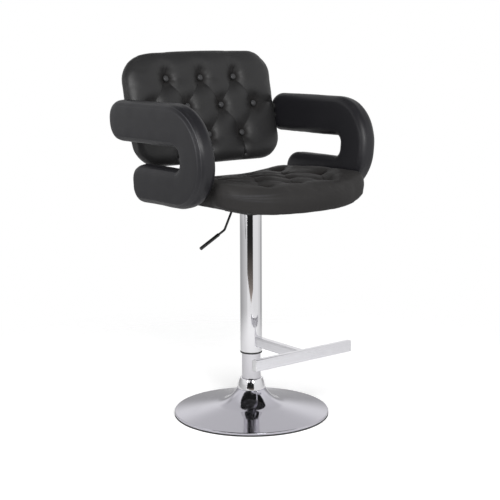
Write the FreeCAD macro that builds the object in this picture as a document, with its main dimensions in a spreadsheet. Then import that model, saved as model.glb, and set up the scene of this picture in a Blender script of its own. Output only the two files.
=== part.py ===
import FreeCAD, Part
import math
import os
import Sketcher
from FreeCAD import Placement, Rotation, Vector

# Height-adjustable swivel armchair stool with a tufted back and seat.
# Frame: +Z up, the chair faces -Y, +X is the sitter's left. The origin is on the floor,
# at the centre of the round base. All lengths are in millimetres and all angles in degrees.
# The lift is drawn at the height that the photograph shows.

doc = FreeCAD.newDocument("armchair_stool")

# Every size that can be set by itself: its name, its value and what it is.
SIZES = [
    ("overrun", 5, "how far a cutting shape runs past the face that it cuts"),
    ("close_gap", 0.05, "radial clearance of a sliding or locating fit"),
    ("bolt_gap", 0.4, "radial clearance of a bolt in its hole"),
    ("soft_gap", 0.3, "clearance between a cushion and what lies beside it"),

    ("base_radius", 205, "outer radius of the trumpet base"),
    ("base_wall", 2, "sheet thickness of the trumpet base"),
    ("base_rim_height", 10, "height of the rim's upper edge above the floor"),
    ("base_flank_angle", 9.2, "slope of the dish"),
    ("base_flare_start", 93, "radius where the dish turns up into the flare"),
    ("base_flare_radius", 72, "radius of the flare, on its outer side"),
    ("base_neck_height", 70, "height of the flare's flat top"),
    ("foot_ring_height", 2.5, "thickness of the rubber foot under the rim"),
    ("foot_ring_width", 15, "width of the rubber foot"),
    ("foot_ring_inset", 0.6, "how far the rubber foot stands in from the rim"),
    ("foot_lip_height", 4, "height of the rubber lip inside the rim"),
    ("foot_lip_width", 4, "width of the rubber lip"),
    ("floor_plate_wall", 1.5, "thickness of the closing plate"),
    ("floor_plate_bore", 38, "radius of the closing plate's service hole"),
    ("ballast_radius", 168, "outer radius of the iron ballast"),
    ("ballast_height", 8, "thickness of the iron ballast"),
    ("ballast_bore", 26, "radius of the hole in the ballast"),
    ("flange_radius", 62, "outer radius of the column's foot flange"),
    ("flange_height", 5, "thickness of the column's foot flange"),
    ("flange_bore", 15, "radius of the hole in the foot flange"),
    ("flange_bolt_circle", 45, "radius on which the foot bolts stand"),
    ("flange_bolt_radius", 4, "radius of a foot bolt"),
    ("flange_head_radius", 7.5, "corner radius of a foot bolt's head and nut"),
    ("flange_head_height", 5.3, "height of a foot bolt's head"),
    ("flange_nut_height", 6.5, "height of a foot bolt's nut"),

    ("tube_radius", 25, "outer radius of the fixed lower tube"),
    ("tube_wall", 2, "wall of the lower tube"),
    ("tube_top", 370, "height of the lower tube's top"),
    ("bush_depth", 70, "depth of the guide bush in the tube"),
    ("bush_flange_height", 3, "height of the guide bush's flange"),
    ("collar_foot_radius", 37.5, "radius of the cone collar at its foot"),
    ("collar_top_radius", 30, "radius of the cone collar at its top"),
    ("collar_height", 28, "height of the cone collar"),
    ("collar_wall", 2.5, "wall of the cone collar"),
    ("collar_edge", 1.2, "bevel of the collar's upper edge"),
    ("socket_floor", 6, "floor of the bearing socket"),
    ("socket_depth", 20, "depth of the bearing socket above its floor"),
    ("socket_bore", 17.5, "inner radius of the bearing socket"),

    ("race_radius", 16.5, "outer radius of the thrust bearing's races"),
    ("race_height", 1.5, "thickness of a race"),
    ("roller_radius", 1.25, "radius of a bearing roller"),
    ("roller_length", 6, "length of a bearing roller"),
    ("roller_circle", 11, "radius on which the rollers run"),
    ("cage_height", 1.5, "thickness of the roller cage"),
    ("cage_margin", 1.5, "width of the cage inside and outside the rollers"),
    ("bearing_play", 0.06, "play of the rollers between the races"),
    ("rod_radius", 5, "radius of the piston rod"),
    ("rod_neck_radius", 4, "radius of the rod's foot, below its shoulder"),
    ("rod_foot", 7, "height of the rod's lower end above the floor"),
    ("rod_washer_radius", 10, "outer radius of the washer under the socket"),
    ("rod_washer_height", 2, "thickness of the washer under the socket"),
    ("clip_radius", 7, "outer radius of the rod's retaining clip"),
    ("clip_height", 1.2, "thickness of the retaining clip"),
    ("clip_depth", 0.9, "depth of the clip's groove in the rod"),
    ("clip_mouth", 5, "opening of the retaining clip"),
    ("bump_radius", 12.5, "radius of the rubber bump stop"),
    ("bump_height", 18, "height of the rubber bump stop"),
    ("rod_top", 318, "height of the piston's top"),
    ("piston_length", 18, "length of the piston"),
    ("seal_width", 4, "width of the piston's seal"),
    ("seal_depth", 1.5, "depth of the piston's seal"),

    ("cylinder_radius", 14, "outer radius of the gas cylinder"),
    ("cylinder_wall", 2, "wall of the gas cylinder"),
    ("cylinder_foot", 110, "height of the gas cylinder's lower end"),
    ("chamber_drop", 75, "depth of the chamber's upper end below the seat's underside"),
    ("taper_drop", 58, "depth of the taper's lower end below the seat's underside"),
    ("taper_top_radius", 13.2, "radius at the taper's top"),
    ("taper_top_drop", 14, "depth of the taper's top below the seat's underside"),
    ("rod_guide_length", 25, "length of the guide in the cylinder's foot"),
    ("valve_radius", 2.5, "radius of the valve pin"),
    ("valve_length", 34, "length of the valve pin"),
    ("valve_proud", 5, "how far the valve pin stands out at rest"),
    ("valve_travel", 4, "how far the lever presses the valve pin"),

    ("sleeve_radius", 28.5, "outer radius of the sliding sleeve"),
    ("sleeve_wall", 1.5, "wall of the sliding sleeve"),
    ("sleeve_foot", 171, "height of the sleeve's lower end"),
    ("end_ring_height", 4.5, "height of the plastic ring below the sleeve"),
    ("end_ring_proud", 0.7, "how far that ring stands out past the sleeve"),
    ("end_ring_spigot", 18, "length of that ring's part inside the sleeve"),
    ("top_cap_height", 16, "height of the centring ring at the sleeve's top"),

    ("footrest_top", 215, "height of the footrest's upper side"),
    ("footrest_height", 29, "height of the crossbar"),
    ("footrest_depth", 15, "depth of the crossbar"),
    ("footrest_half_length", 158, "half the crossbar's length"),
    ("footrest_reach", 218, "distance from the column's axis to the crossbar's front"),
    ("footrest_wall", 1.5, "wall of the footrest's tubes"),
    ("footrest_edge", 2.5, "edge radius of the footrest's tubes"),
    ("stem_height", 25, "height of the footrest's stem"),
    ("stem_width", 18, "width of the footrest's stem"),
    ("end_cap_wall", 2, "thickness of the crossbar's end caps"),
    ("end_cap_plug", 10, "length of the end caps' plugs"),

    ("plate_half_width", 76, "half the mount plate's width"),
    ("plate_half_depth", 88, "half the mount plate's depth"),
    ("plate_corner", 14, "corner radius of the mount plate"),
    ("plate_wall", 2.5, "sheet thickness of the mount plate"),
    ("pan_half_width", 46, "half the pan's width"),
    ("pan_half_depth", 58, "half the pan's depth"),
    ("pan_corner", 10, "corner radius of the pan"),
    ("pan_depth", 28, "depth of the pan below the plate's upper side"),
    ("plate_bolt_side", 61, "sideways place of the plate's bolts"),
    ("plate_bolt_front", 73, "place of the plate's bolts to the front and rear"),
    ("plate_bolt_radius", 4, "radius of a plate bolt"),
    ("plate_head_radius", 7.5, "corner radius of a plate bolt's head"),
    ("plate_head_height", 5.3, "height of a plate bolt's head"),
    ("plate_bolt_length", 24, "length of a plate bolt under its head"),
    ("washer_radius", 9, "outer radius of a washer"),
    ("washer_height", 1.6, "thickness of a washer"),
    ("tee_nut_radius", 5, "radius of a tee nut's barrel"),
    ("tee_nut_length", 9, "length of a tee nut's barrel"),
    ("tee_flange_radius", 9.5, "radius of a tee nut's flange"),
    ("tee_flange_height", 1.5, "thickness of a tee nut's flange"),
    ("hub_radius", 20, "outer radius of the tapered hub"),
    ("hub_depth", 26, "depth of the hub below the pan"),
    ("hub_height", 6, "height of the hub inside the pan"),

    ("lever_radius", 3, "radius of the lever's rod"),
    ("lever_gap", 0.3, "gap between the lever and the valve pin at rest"),
    ("lever_nose", 8, "how far the lever reaches past the valve pin"),
    ("lever_pivot", 38, "distance from the column's axis to the lever's pivot"),
    ("lever_knee", 55, "distance from the column's axis to the lever's upper bend"),
    ("lever_elbow", 86, "distance from the column's axis to the lever's lower bend"),
    ("lever_elbow_drop", 61, "drop of the lower bend below the lever's inner end"),
    ("lever_end", 161, "distance from the column's axis to the lever's outer end"),
    ("lever_end_drop", 101, "drop of the lever's outer end"),
    ("lever_bend", 12, "radius of the lever's bends"),
    ("grip_radius", 4.5, "radius of the lever's grip"),
    ("grip_length", 66, "length of the lever's grip"),
    ("grip_cap", 2, "thickness of the grip's closed end"),
    ("pivot_radius", 2, "radius of the lever's pivot pin"),
    ("pivot_half_length", 9, "half the pivot pin's length"),
    ("bracket_gap", 5, "half the gap between the bracket's ears"),
    ("bracket_wall", 2, "sheet thickness of the lever bracket"),
    ("bracket_half_length", 5, "half the bracket's length along the lever"),
    ("bracket_margin", 4, "height of the bracket's ears above the pivot"),
    ("lever_slot", 6, "half the width of the slot that the lever leaves through"),

    ("seat_bottom", 570, "height of the seat's lower edge at the middle"),
    ("seat_half_width", 225, "half the seat's width between the arms"),
    ("seat_front", 262, "distance from the column's axis to the seat's front"),
    ("seat_corner_front", 184, "the same at the seat's front corners"),
    ("seat_rear", 160, "distance from the column's axis to the seat's rear"),
    ("seat_rear_corner", 24, "radius of the seat's rear corners"),
    ("seat_flat_half_width", 95, "half the width of the seat's flat middle"),
    ("seat_saddle_radius", 500, "radius of the seat's raised sides"),
    ("seat_front_height", 58, "height of the cushion at its front edge"),
    ("seat_middle_height", 69, "height of the cushion at its crown"),
    ("seat_rear_height", 46, "height of the cushion at its rear edge"),
    ("seat_edge", 17, "radius of the cushion's upper edge"),
    ("seat_draw", 8, "how far the cushion's sides are drawn in at the bottom"),
    ("seat_end_round", 9, "how far the cushion's ends are rounded off"),
    ("cover_wall", 1, "thickness of the cover wrapped under the frame"),
    ("frame_cover", 13, "thickness of the upholstery round the frame"),
    ("frame_height", 31.5, "height of the seat frame's rails"),
    ("frame_rail", 20, "width of the seat frame's rails"),
    ("frame_cross_rail", 34, "width of the frame's two cross rails"),
    ("board_height", 9, "thickness of the seat board"),
    ("tuft_side", 104, "sideways pitch of the seat's tufts"),
    ("tuft_depth_pitch", 84, "front to rear pitch of the seat's tufts"),
    ("tuft_front", 172, "distance from the column's axis to the front tufts"),
    ("tuft_radius", 15, "radius of a seat tuft"),
    ("tuft_drop", 9, "depth of a seat tuft"),
    ("seam_half_width", 5, "half the width of a crease"),
    ("seam_depth", 3.5, "depth of a crease"),

    ("arm_centre", 261, "distance from the middle to an arm's middle plane"),
    ("arm_reference_rise", 150, "height above the seat's underside at which that distance holds"),
    ("arm_lean_angle", 4.2, "outward lean of the arms"),
    ("arm_thickness", 52, "thickness of an arm"),
    ("arm_front", 172, "distance from the column's axis to the arm's front"),
    ("arm_top_rise", 265, "height of the arm's top above the seat's underside"),
    ("arm_bottom_rise", 10, "height of the arm's bottom above the seat's underside"),
    ("arm_upper_rear", 226, "rear end of the arm's upper limb"),
    ("arm_lower_rear", 138, "rear end of the arm's lower limb"),
    ("arm_slot_top_rise", 161, "height of the slot's upper side above the seat's underside"),
    ("arm_slot_bottom_rise", 106, "height of the slot's lower side above the seat's underside"),
    ("arm_slot_front", 75, "distance from the column's axis to the slot's front"),
    ("arm_front_top_radius", 125, "radius of the arm's upper front corner"),
    ("arm_front_bottom_radius", 118, "radius of the arm's lower front corner"),
    ("arm_upper_end_radius", 48, "radius at the upper limb's end"),
    ("arm_lower_end_radius", 40, "radius at the lower limb's end"),
    ("arm_slot_radius", 20, "radius of the slot's inner corners"),
    ("arm_edge_radius", 20, "edge radius of the arm's padding"),
    ("core_thickness", 18, "thickness of the arm's wooden core"),
    ("core_inset", 10, "how far the core stands in from the arm's outline"),
    ("arm_bolt_radius", 4, "radius of an arm bolt"),
    ("arm_head_radius", 8, "radius of an arm bolt's flat head"),
    ("arm_head_height", 3, "height of an arm bolt's flat head"),
    ("seat_bolt_front", 70, "distance from the column's axis to the front one"),
    ("seat_bolt_rear", 62, "distance from the column's axis to the rear one"),
    ("seat_bolt_length", 79, "length of the bolts that hold the seat"),
    ("seat_nut_height", 6.5, "height of the nuts on those bolts"),
    ("back_bolt_lower_rise", 201, "height of the back's lower bolt above the seat's underside"),
    ("back_bolt_lower_rear", 195, "place of the lower bolt of the back"),
    ("back_bolt_upper_rise", 226, "height of the back's upper bolt above the seat's underside"),
    ("back_bolt_upper_rear", 200, "place of the upper bolt of the back"),
    ("back_bolt_length", 70, "length of the bolts that hold the back"),
    ("barrel_nut_radius", 5, "radius of the back's barrel nuts"),
    ("barrel_nut_length", 14, "length of the back's barrel nuts"),
    ("barrel_nut_end", 6, "distance from a barrel nut's axis to the bolt's end"),

    ("back_half_width", 232, "half the back pad's width"),
    ("back_height", 297, "height of the back pad along its slope"),
    ("back_foot_front", 147, "place of the back pad's front face at its lower edge"),
    ("back_foot_rise", 98, "height of the back pad's lower edge above the seat's underside"),
    ("back_recline", 14.4, "recline of the back pad"),
    ("back_thickness", 45, "thickness of the back pad"),
    ("back_corner", 66, "corner radius of the back pad"),
    ("back_crown", 7, "rise of the back pad's upper edge at the middle"),
    ("back_edge", 15, "depth of the back cushion's rounded edge"),
    ("back_pillow", 7, "further rise of the cushion's face inside that edge"),
    ("back_pillow_width", 34, "width of that rise"),
    ("back_draw", 4, "how far the cushion's rear edge is drawn in"),
    ("panel_wall", 4, "thickness of the back's rear panel"),
    ("panel_inset", 7, "how far the rear panel stands in from the edge"),
    ("back_board_wall", 12, "thickness of the back frame's board"),
    ("back_board_inset", 13, "how far that board stands in from the edge"),
    ("back_rail_depth", 18, "depth of the back frame's side rails"),
    ("back_rail_width", 26, "width of the back frame's side rails"),
    ("back_rail_foot", 88, "lower end of the side rails along the slope"),
    ("back_rail_top", 166, "upper end of the side rails along the slope"),
    ("button_side", 112, "sideways pitch of the back's buttons"),
    ("button_low", 73, "height of the lower row along the slope"),
    ("button_middle", 150, "height of the middle row along the slope"),
    ("button_high", 226, "height of the upper row along the slope"),
    ("button_radius", 6.5, "radius of a covered button"),
    ("button_rim", 1.5, "height of a button's rim"),
    ("button_dome", 4.5, "height of a button's crown"),
    ("button_crown_radius", 3.5, "radius of a button's flat crown"),
    ("back_tuft_radius", 17, "radius of a back tuft"),
    ("back_tuft_depth", 11, "depth of a back tuft"),
]

sheet = doc.addObject("Spreadsheet::Sheet", "sizes")
for row, (alias, number, note) in enumerate(SIZES, start=1):
    sheet.set("A%d" % row, alias)
    sheet.set("B%d" % row, str(number))
    sheet.set("C%d" % row, note)
    sheet.setAlias("B%d" % row, alias)
doc.recompute()


class Size:
    """A size with its number now and the expression that keeps it bound to the sheet."""

    def __init__(self, number, text):
        self.number = float(number)
        self.text = text

    def __float__(self):
        return self.number

    def __add__(self, other):
        return Size(self.number + float(other), "(%s + %s)" % (self.text, words(other)))

    def __radd__(self, other):
        return self + other

    def __sub__(self, other):
        return Size(self.number - float(other), "(%s - %s)" % (self.text, words(other)))

    def __rsub__(self, other):
        return -self + other

    def __mul__(self, other):
        return Size(self.number * float(other), "(%s * %s)" % (self.text, words(other)))

    def __rmul__(self, other):
        return self * other

    def __truediv__(self, other):
        return Size(self.number / float(other), "(%s / %s)" % (self.text, words(other)))

    def __neg__(self):
        return Size(-self.number, "(0 - %s)" % self.text)


def words(value):
    """The expression text of a size or of a plain factor."""
    if isinstance(value, Size):
        return value.text
    return repr(value)


def plain(number):
    """A size that is used for its number only, by the shapes made in code."""
    return Size(number, "0")


def root(size):
    return Size(math.sqrt(size.number), "sqrt(%s)" % size.text)


def sine(angle):
    return Size(math.sin(math.radians(angle.number)), "sin(%s)" % angle.text)


def cosine(angle):
    return Size(math.cos(math.radians(angle.number)), "cos(%s)" % angle.text)


def tangent(angle):
    return Size(math.tan(math.radians(angle.number)), "tan(%s)" % angle.text)


class Sheet:
    """Each size of the sheet by its name."""


s = Sheet()
for alias, number, note in SIZES:
    setattr(s, alias, Size(sheet.get(alias), "sizes." + alias))

ZERO = plain(0)
X_AXIS = Vector(1, 0, 0)
Y_AXIS = Vector(0, 1, 0)
Z_AXIS = Vector(0, 0, 1)
RIGHT_ANGLE = Size(90, "90")
SIDES = (("left", 1), ("right", -1))

roller_count = 8
tuft_sides = 8

# Shares of a length, without a unit.
corner_share = 1 - math.sqrt(0.5)
seat_section_shares = (0.42, 0.7, 0.93, 1)
seat_round_share = 0.9
seat_foot_share = 0.3
seat_belly_share = 0.25
tuft_floor_share = 0.2
even_row_shares = (-1, 0, 1)
odd_row_shares = (-1.5, -0.5, 0.5, 1.5)
diamond_share = 0.6
pillow_middle_share = 0.4
back_edge_shares = (0.75, 0.25)
nodes = []


def node(thing, label):
    """Marks a finished object as one piece of the stool and names its file."""
    thing.Label = label
    nodes.append(thing)
    return thing


def place(thing, x=ZERO, y=ZERO, z=ZERO, axis=Z_AXIS, angle=ZERO):
    """Puts an object at a bound position, turned about one axis by a bound angle."""
    turn = Rotation(axis, float(angle))
    thing.Placement = Placement(Vector(float(x), float(y), float(z)), turn)
    for path, value in (("Base.x", x), ("Base.y", y), ("Base.z", z)):
        thing.setExpression("Placement." + path, words(value))
    if angle is not ZERO:
        thing.setExpression("Placement.Rotation.Angle", words(angle))
    return thing


def arc_centre(start, end, radius):
    """Centre of the arc from start to end: on the left for a positive radius, else right."""
    (x1, y1), (x2, y2) = start, end
    half = math.hypot(x2 - x1, y2 - y1) / 2
    reach = math.sqrt(max(radius * radius - half * half, 0))
    side = math.copysign(reach / half / 2, radius)
    return (x1 + x2) / 2 - (y2 - y1) * side, (y1 + y2) / 2 + (x2 - x1) * side


def draw(sketch, outline):
    """Draws a closed outline and binds every point and radius of it.

    Each point is (x, y), followed by a radius where an arc of under a half circle leads
    to the next point: positive where it turns left and negative where it turns right."""
    first = sketch.GeometryCount
    count = len(outline)
    shapes = []
    ends = []
    for index, point in enumerate(outline):
        start = (float(point[0]), float(point[1]))
        following = outline[(index + 1) % count]
        end = (float(following[0]), float(following[1]))
        if len(point) == 2:
            shapes.append(Part.LineSegment(Vector(*start, 0), Vector(*end, 0)))
            ends.append((1, 2))
            continue
        radius = float(point[2])
        centre = arc_centre(start, end, radius)
        angles = [math.atan2(p[1] - centre[1], p[0] - centre[0]) for p in (start, end)]
        if radius < 0:
            angles.reverse()
        circle = Part.Circle(Vector(*centre, 0), Z_AXIS, abs(radius))
        shapes.append(Part.ArcOfCircle(circle, *angles))
        ends.append((1, 2) if radius > 0 else (2, 1))
    sketch.addGeometry(shapes, False)
    rules = []
    bound = []
    for index, point in enumerate(outline):
        shape = first + index
        after = (index + 1) % count
        rules.append(Sketcher.Constraint("Coincident", shape, ends[index][1], first + after, ends[after][0]))
        for kind, size, axis in (("DistanceX", point[0], -2), ("DistanceY", point[1], -1)):
            if size is ZERO:
                rules.append(Sketcher.Constraint("PointOnObject", shape, ends[index][0], axis))
            else:
                bound.append((len(rules), size))
                rules.append(Sketcher.Constraint(kind, -1, 1, shape, ends[index][0], float(size)))
        if len(point) > 2:
            bound.append((len(rules), point[2] if float(point[2]) > 0 else -point[2]))
            rules.append(Sketcher.Constraint("Radius", shape, abs(float(point[2]))))
    before = sketch.ConstraintCount
    sketch.addConstraint(rules)
    for index, size in bound:
        sketch.setExpression("Constraints[%d]" % (before + index), words(size))


def circle(sketch, x, y, radius):
    """Draws a bound circle."""
    shape = sketch.addGeometry(Part.Circle(Vector(float(x), float(y), 0), Z_AXIS, float(radius)), False)
    for kind, size, axis in (("DistanceX", x, -2), ("DistanceY", y, -1)):
        if size is ZERO:
            sketch.addConstraint(Sketcher.Constraint("PointOnObject", shape, 3, axis))
        else:
            rule = sketch.addConstraint(Sketcher.Constraint(kind, -1, 1, shape, 3, float(size)))
            sketch.setExpression("Constraints[%d]" % rule, words(size))
    rule = sketch.addConstraint(Sketcher.Constraint("Radius", shape, float(radius)))
    sketch.setExpression("Constraints[%d]" % rule, words(radius))


def sketch_on(body, role, name, height=ZERO):
    """A new sketch on one of the body's own planes, raised by a bound height."""
    sketch = body.newObject("Sketcher::SketchObject", name)
    plane = next(item for item in body.Origin.OriginFeatures if item.Role == role)
    sketch.AttachmentSupport = [(plane, "")]
    sketch.MapMode = "FlatFace"
    if height is not ZERO:
        sketch.AttachmentOffset = Placement(Vector(0, 0, float(height)), Rotation())
        sketch.setExpression("AttachmentOffset.Base.z", words(height))
    return sketch


def new_body(name):
    return doc.addObject("PartDesign::Body", name)


def turned(name, outline):
    """A body turned about Z from an outline of (radius, height) points."""
    body = new_body(name)
    sketch = sketch_on(body, "XZ_Plane", name + "_profile")
    draw(sketch, outline)
    turn = body.newObject("PartDesign::Revolution", name + "_turn")
    turn.Profile = sketch
    turn.ReferenceAxis = (sketch, ["V_Axis"])
    turn.Angle = 360
    sketch.Visibility = False
    return body


def ring(name, inner, outer, low, high):
    """A turned ring with a plain rectangular section."""
    return turned(name, [(inner, low), (outer, low), (outer, high), (inner, high)])


def disc(name, outer, low, high):
    """A turned disc."""
    return turned(name, [(ZERO, low), (outer, low), (outer, high), (ZERO, high)])


def pad(body, sketch, length, middle=False, down=False):
    """Raises a sketch to a solid by a bound length."""
    feature = body.newObject("PartDesign::Pad", sketch.Name + "_pad")
    feature.Profile = sketch
    feature.Length = float(length)
    feature.setExpression("Length", words(length))
    feature.Midplane = middle
    feature.Reversed = down
    return feature


def pocket(body, sketch, length, middle=False, up=False):
    """Cuts a sketch away by a bound length and checks that something was cut."""
    doc.recompute()
    before = body.Shape.Volume
    feature = body.newObject("PartDesign::Pocket", sketch.Name + "_pocket")
    feature.Profile = sketch
    feature.Length = float(length)
    feature.setExpression("Length", words(length))
    feature.Midplane = middle
    feature.Reversed = up
    doc.recompute()
    if body.Shape.Volume >= before:
        raise ValueError("nothing was cut by " + sketch.Name)
    return feature


def cornered(corners):
    """An outline from (x, y, radius) corners whose sides run along X and Y."""
    outline = []
    count = len(corners)
    for index, (x, y, radius) in enumerate(corners):
        before = corners[index - 1]
        after = corners[(index + 1) % count]
        arrive = (float(x) - float(before[0]), float(y) - float(before[1]))
        leave = (float(after[0]) - float(x), float(after[1]) - float(y))
        turn = arrive[0] * leave[1] - arrive[1] * leave[0]
        if radius is ZERO:
            outline.append((x, y))
            continue
        start = [x, y]
        along = 0 if abs(arrive[0]) > abs(arrive[1]) else 1
        start[along] = start[along] - radius if arrive[along] > 0 else start[along] + radius
        end = [x, y]
        along = 1 - along
        end[along] = end[along] + radius if leave[along] > 0 else end[along] - radius
        outline.append((start[0], start[1], radius if turn > 0 else -radius))
        outline.append((end[0], end[1]))
    return outline


def rectangle(half_x, half_y, radius=ZERO):
    """A rectangle about the origin with rounded corners."""
    return cornered([(half_x, -half_y, radius), (half_x, half_y, radius),
                     (-half_x, half_y, radius), (-half_x, -half_y, radius)])


def primitive(kind, name, sizes, x=ZERO, y=ZERO, z=ZERO, axis=Z_AXIS, angle=ZERO):
    """A Part primitive with bound sizes, at a bound place."""
    thing = doc.addObject("Part::" + kind, name)
    for key, value in sizes.items():
        setattr(thing, key, float(value))
        thing.setExpression(key, words(value))
    return place(thing, x, y, z, axis, angle)


def hexagon(name, radius, height, **where):
    """A hexagonal head or nut, by its corner radius."""
    thing = primitive("Prism", name, {"Circumradius": radius, "Height": height}, **where)
    thing.Polygon = 6
    return thing


def joined(name, parts):
    thing = doc.addObject("Part::MultiFuse", name)
    thing.Shapes = parts
    thing.Refine = False
    return thing


def gathered(name, parts):
    thing = doc.addObject("Part::Compound", name)
    thing.Links = parts
    return thing


def difference(name, base, tool):
    thing = doc.addObject("Part::Cut", name)
    thing.Base = base
    thing.Tool = tool
    return thing


def overlap(name, first, second):
    thing = doc.addObject("Part::Common", name)
    thing.Base = first
    thing.Tool = second
    return thing


def made(name, shape):
    """A plain feature for a form that no sketch or primitive gives."""
    thing = doc.addObject("Part::Feature", name)
    thing.Shape = shape
    return thing


# Heights that several pieces share, from the floor up.
ballast_foot = s.foot_ring_height + s.floor_plate_wall
flange_foot = ballast_foot + s.ballast_height
flange_top = flange_foot + s.flange_height
socket_floor_top = flange_top + s.socket_floor
rollers_foot = socket_floor_top + s.race_height
upper_race_foot = rollers_foot + 2 * s.roller_radius + 2 * s.bearing_play
rod_shoulder = upper_race_foot + s.race_height
tube_bore = s.tube_radius - s.tube_wall
sleeve_bore = s.sleeve_radius - s.sleeve_wall
cylinder_bore = s.cylinder_radius - s.cylinder_wall
frame_foot = s.seat_bottom + s.cover_wall
pan_foot = frame_foot - s.pan_depth
chamber_top = s.seat_bottom - s.chamber_drop
taper_foot = s.seat_bottom - s.taper_drop
cylinder_top = s.seat_bottom - s.taper_top_drop


def flank_height(radius, drop):
    """Height of the dish at a radius, taken a given depth under its outer side."""
    rise = (s.base_radius - s.base_wall - radius) * tangent(s.base_flank_angle)
    return s.base_rim_height + rise - drop / cosine(s.base_flank_angle)


def base_shell():
    """Spun trumpet base: rolled rim, shallow dish, flare and a flat top round the tube."""
    slope = s.base_flank_angle
    bore = s.tube_radius + s.bolt_gap
    centre_x = s.base_flare_start + s.base_flare_radius * sine(slope)
    centre_z = flank_height(s.base_flare_start, ZERO) + s.base_flare_radius * cosine(slope)
    inner_radius = s.base_flare_radius + s.base_wall
    inner_top = s.base_neck_height - s.base_wall
    inner_start = centre_x - inner_radius * sine(slope)
    inner_start_z = centre_z - inner_radius * cosine(slope)

    def flare(radius, height):
        return centre_x - root(radius * radius - (centre_z - height) * (centre_z - height))

    rim = s.base_radius - s.base_wall
    body = turned("base_shell", [
        (bore, inner_top),
        (flare(inner_radius, inner_top), inner_top, inner_radius),
        (inner_start, inner_start_z),
        (rim, flank_height(rim, s.base_wall)),
        (rim, s.foot_ring_height),
        (s.base_radius, s.foot_ring_height),
        (s.base_radius, s.base_rim_height - s.base_wall, s.base_wall),
        (rim, s.base_rim_height),
        (s.base_flare_start, flank_height(s.base_flare_start, ZERO), -s.base_flare_radius),
        (flare(s.base_flare_radius, s.base_neck_height), s.base_neck_height),
        (bore, s.base_neck_height),
    ])
    node(body, "base_shell")


def base_weight():
    """Rubber foot, closing plate and iron ballast under the dish."""
    outer = s.base_radius - s.foot_ring_inset
    lip = s.base_radius - s.base_wall - s.close_gap
    inner = outer - s.foot_ring_width
    ledge = lip - s.foot_lip_width
    lip_top = s.foot_ring_height + s.foot_lip_height
    node(turned("base_foot_ring", [
        (inner, ZERO), (outer, ZERO), (outer, s.foot_ring_height), (lip, s.foot_ring_height),
        (lip, lip_top), (ledge, lip_top), (ledge, s.foot_ring_height), (inner, s.foot_ring_height),
    ]), "base_foot_ring")
    node(ring("base_floor_plate", s.floor_plate_bore, ledge - s.close_gap,
              s.foot_ring_height, ballast_foot), "base_floor_plate")
    ballast = ring("base_ballast", s.ballast_bore, s.ballast_radius, ballast_foot, flange_foot)
    bolt_holes(ballast, "ballast_holes", s.flange_bolt_radius + s.bolt_gap)
    bolt_holes(ballast, "ballast_seats", s.flange_head_radius + s.bolt_gap,
               ballast_foot + s.flange_head_height)
    node(ballast, "base_ballast")


def bolt_holes(body, name, radius, top=None):
    """Four holes on the foot bolts' circle, right through or up to a given height."""
    sketch = sketch_on(body, "XY_Plane", name)
    for x, y in ((1, 0), (0, 1), (-1, 0), (0, -1)):
        circle(sketch, s.flange_bolt_circle * x if x else ZERO,
               s.flange_bolt_circle * y if y else ZERO, radius)
    pocket(body, sketch, top or flange_top + s.overrun, up=True)


def column_foot():
    """Foot flange under the lower tube, with its four bolts and nuts."""
    flange = ring("column_foot_flange", s.flange_bore, s.flange_radius, flange_foot, flange_top)
    bolt_holes(flange, "flange_holes", s.flange_bolt_radius + s.bolt_gap)
    node(flange, "column_foot_flange")
    head_top = ballast_foot + s.flange_head_height
    shank = flange_top + s.flange_nut_height + s.flange_bolt_radius / 2 - head_top
    solids = []
    nuts = []
    holes = []
    for index, (x, y) in enumerate(((1, 0), (0, 1), (-1, 0), (0, -1))):
        spot = {"x": s.flange_bolt_circle * x if x else ZERO,
                "y": s.flange_bolt_circle * y if y else ZERO}
        solids.append(hexagon("foot_bolt_head%d" % index, s.flange_head_radius,
                              s.flange_head_height, z=ballast_foot, **spot))
        solids.append(primitive("Cylinder", "foot_bolt_shank%d" % index,
                                {"Radius": s.flange_bolt_radius, "Height": shank}, z=head_top, **spot))
        nuts.append(hexagon("foot_nut%d" % index, s.flange_head_radius, s.flange_nut_height,
                            z=flange_top, **spot))
        holes.append(primitive("Cylinder", "foot_nut_hole%d" % index,
                               {"Radius": s.flange_bolt_radius + s.close_gap, "Height": shank},
                               z=head_top, **spot))
    node(joined("base_bolts", solids), "base_bolts")
    node(difference("base_nuts", gathered("foot_nut_blanks", nuts),
                    gathered("foot_nut_bores", holes)), "base_nuts")


def lower_column():
    """Fixed lower tube with its cone collar, guide bush and bearing socket."""
    node(ring("column_lower_tube", tube_bore, s.tube_radius, flange_top, s.tube_top),
         "column_lower_tube")
    bore = s.tube_radius + s.close_gap
    foot = s.base_neck_height
    top = foot + s.collar_height
    node(turned("column_collar", [
        (s.collar_foot_radius - s.collar_wall, foot), (s.collar_foot_radius, foot),
        (s.collar_top_radius, top - s.collar_edge), (s.collar_top_radius - s.collar_edge, top),
        (bore, top), (bore, top - s.collar_wall),
        (s.collar_top_radius - s.collar_wall, top - s.collar_wall),
    ]), "column_collar")
    bush = s.cylinder_radius + s.close_gap
    spigot = tube_bore - s.close_gap
    bush_top = s.tube_top + s.bush_flange_height
    node(turned("column_guide_bush", [
        (bush, s.tube_top - s.bush_depth), (spigot, s.tube_top - s.bush_depth),
        (spigot, s.tube_top), (s.tube_radius, s.tube_top), (s.tube_radius, bush_top),
        (bush, bush_top),
    ]), "column_guide_bush")
    cup_top = socket_floor_top + s.socket_depth
    node(turned("bearing_socket", [
        (s.rod_neck_radius + s.bolt_gap, flange_top), (spigot, flange_top), (spigot, cup_top),
        (s.socket_bore, cup_top), (s.socket_bore, socket_floor_top),
        (s.rod_neck_radius + s.bolt_gap, socket_floor_top),
    ]), "bearing_socket")


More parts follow.
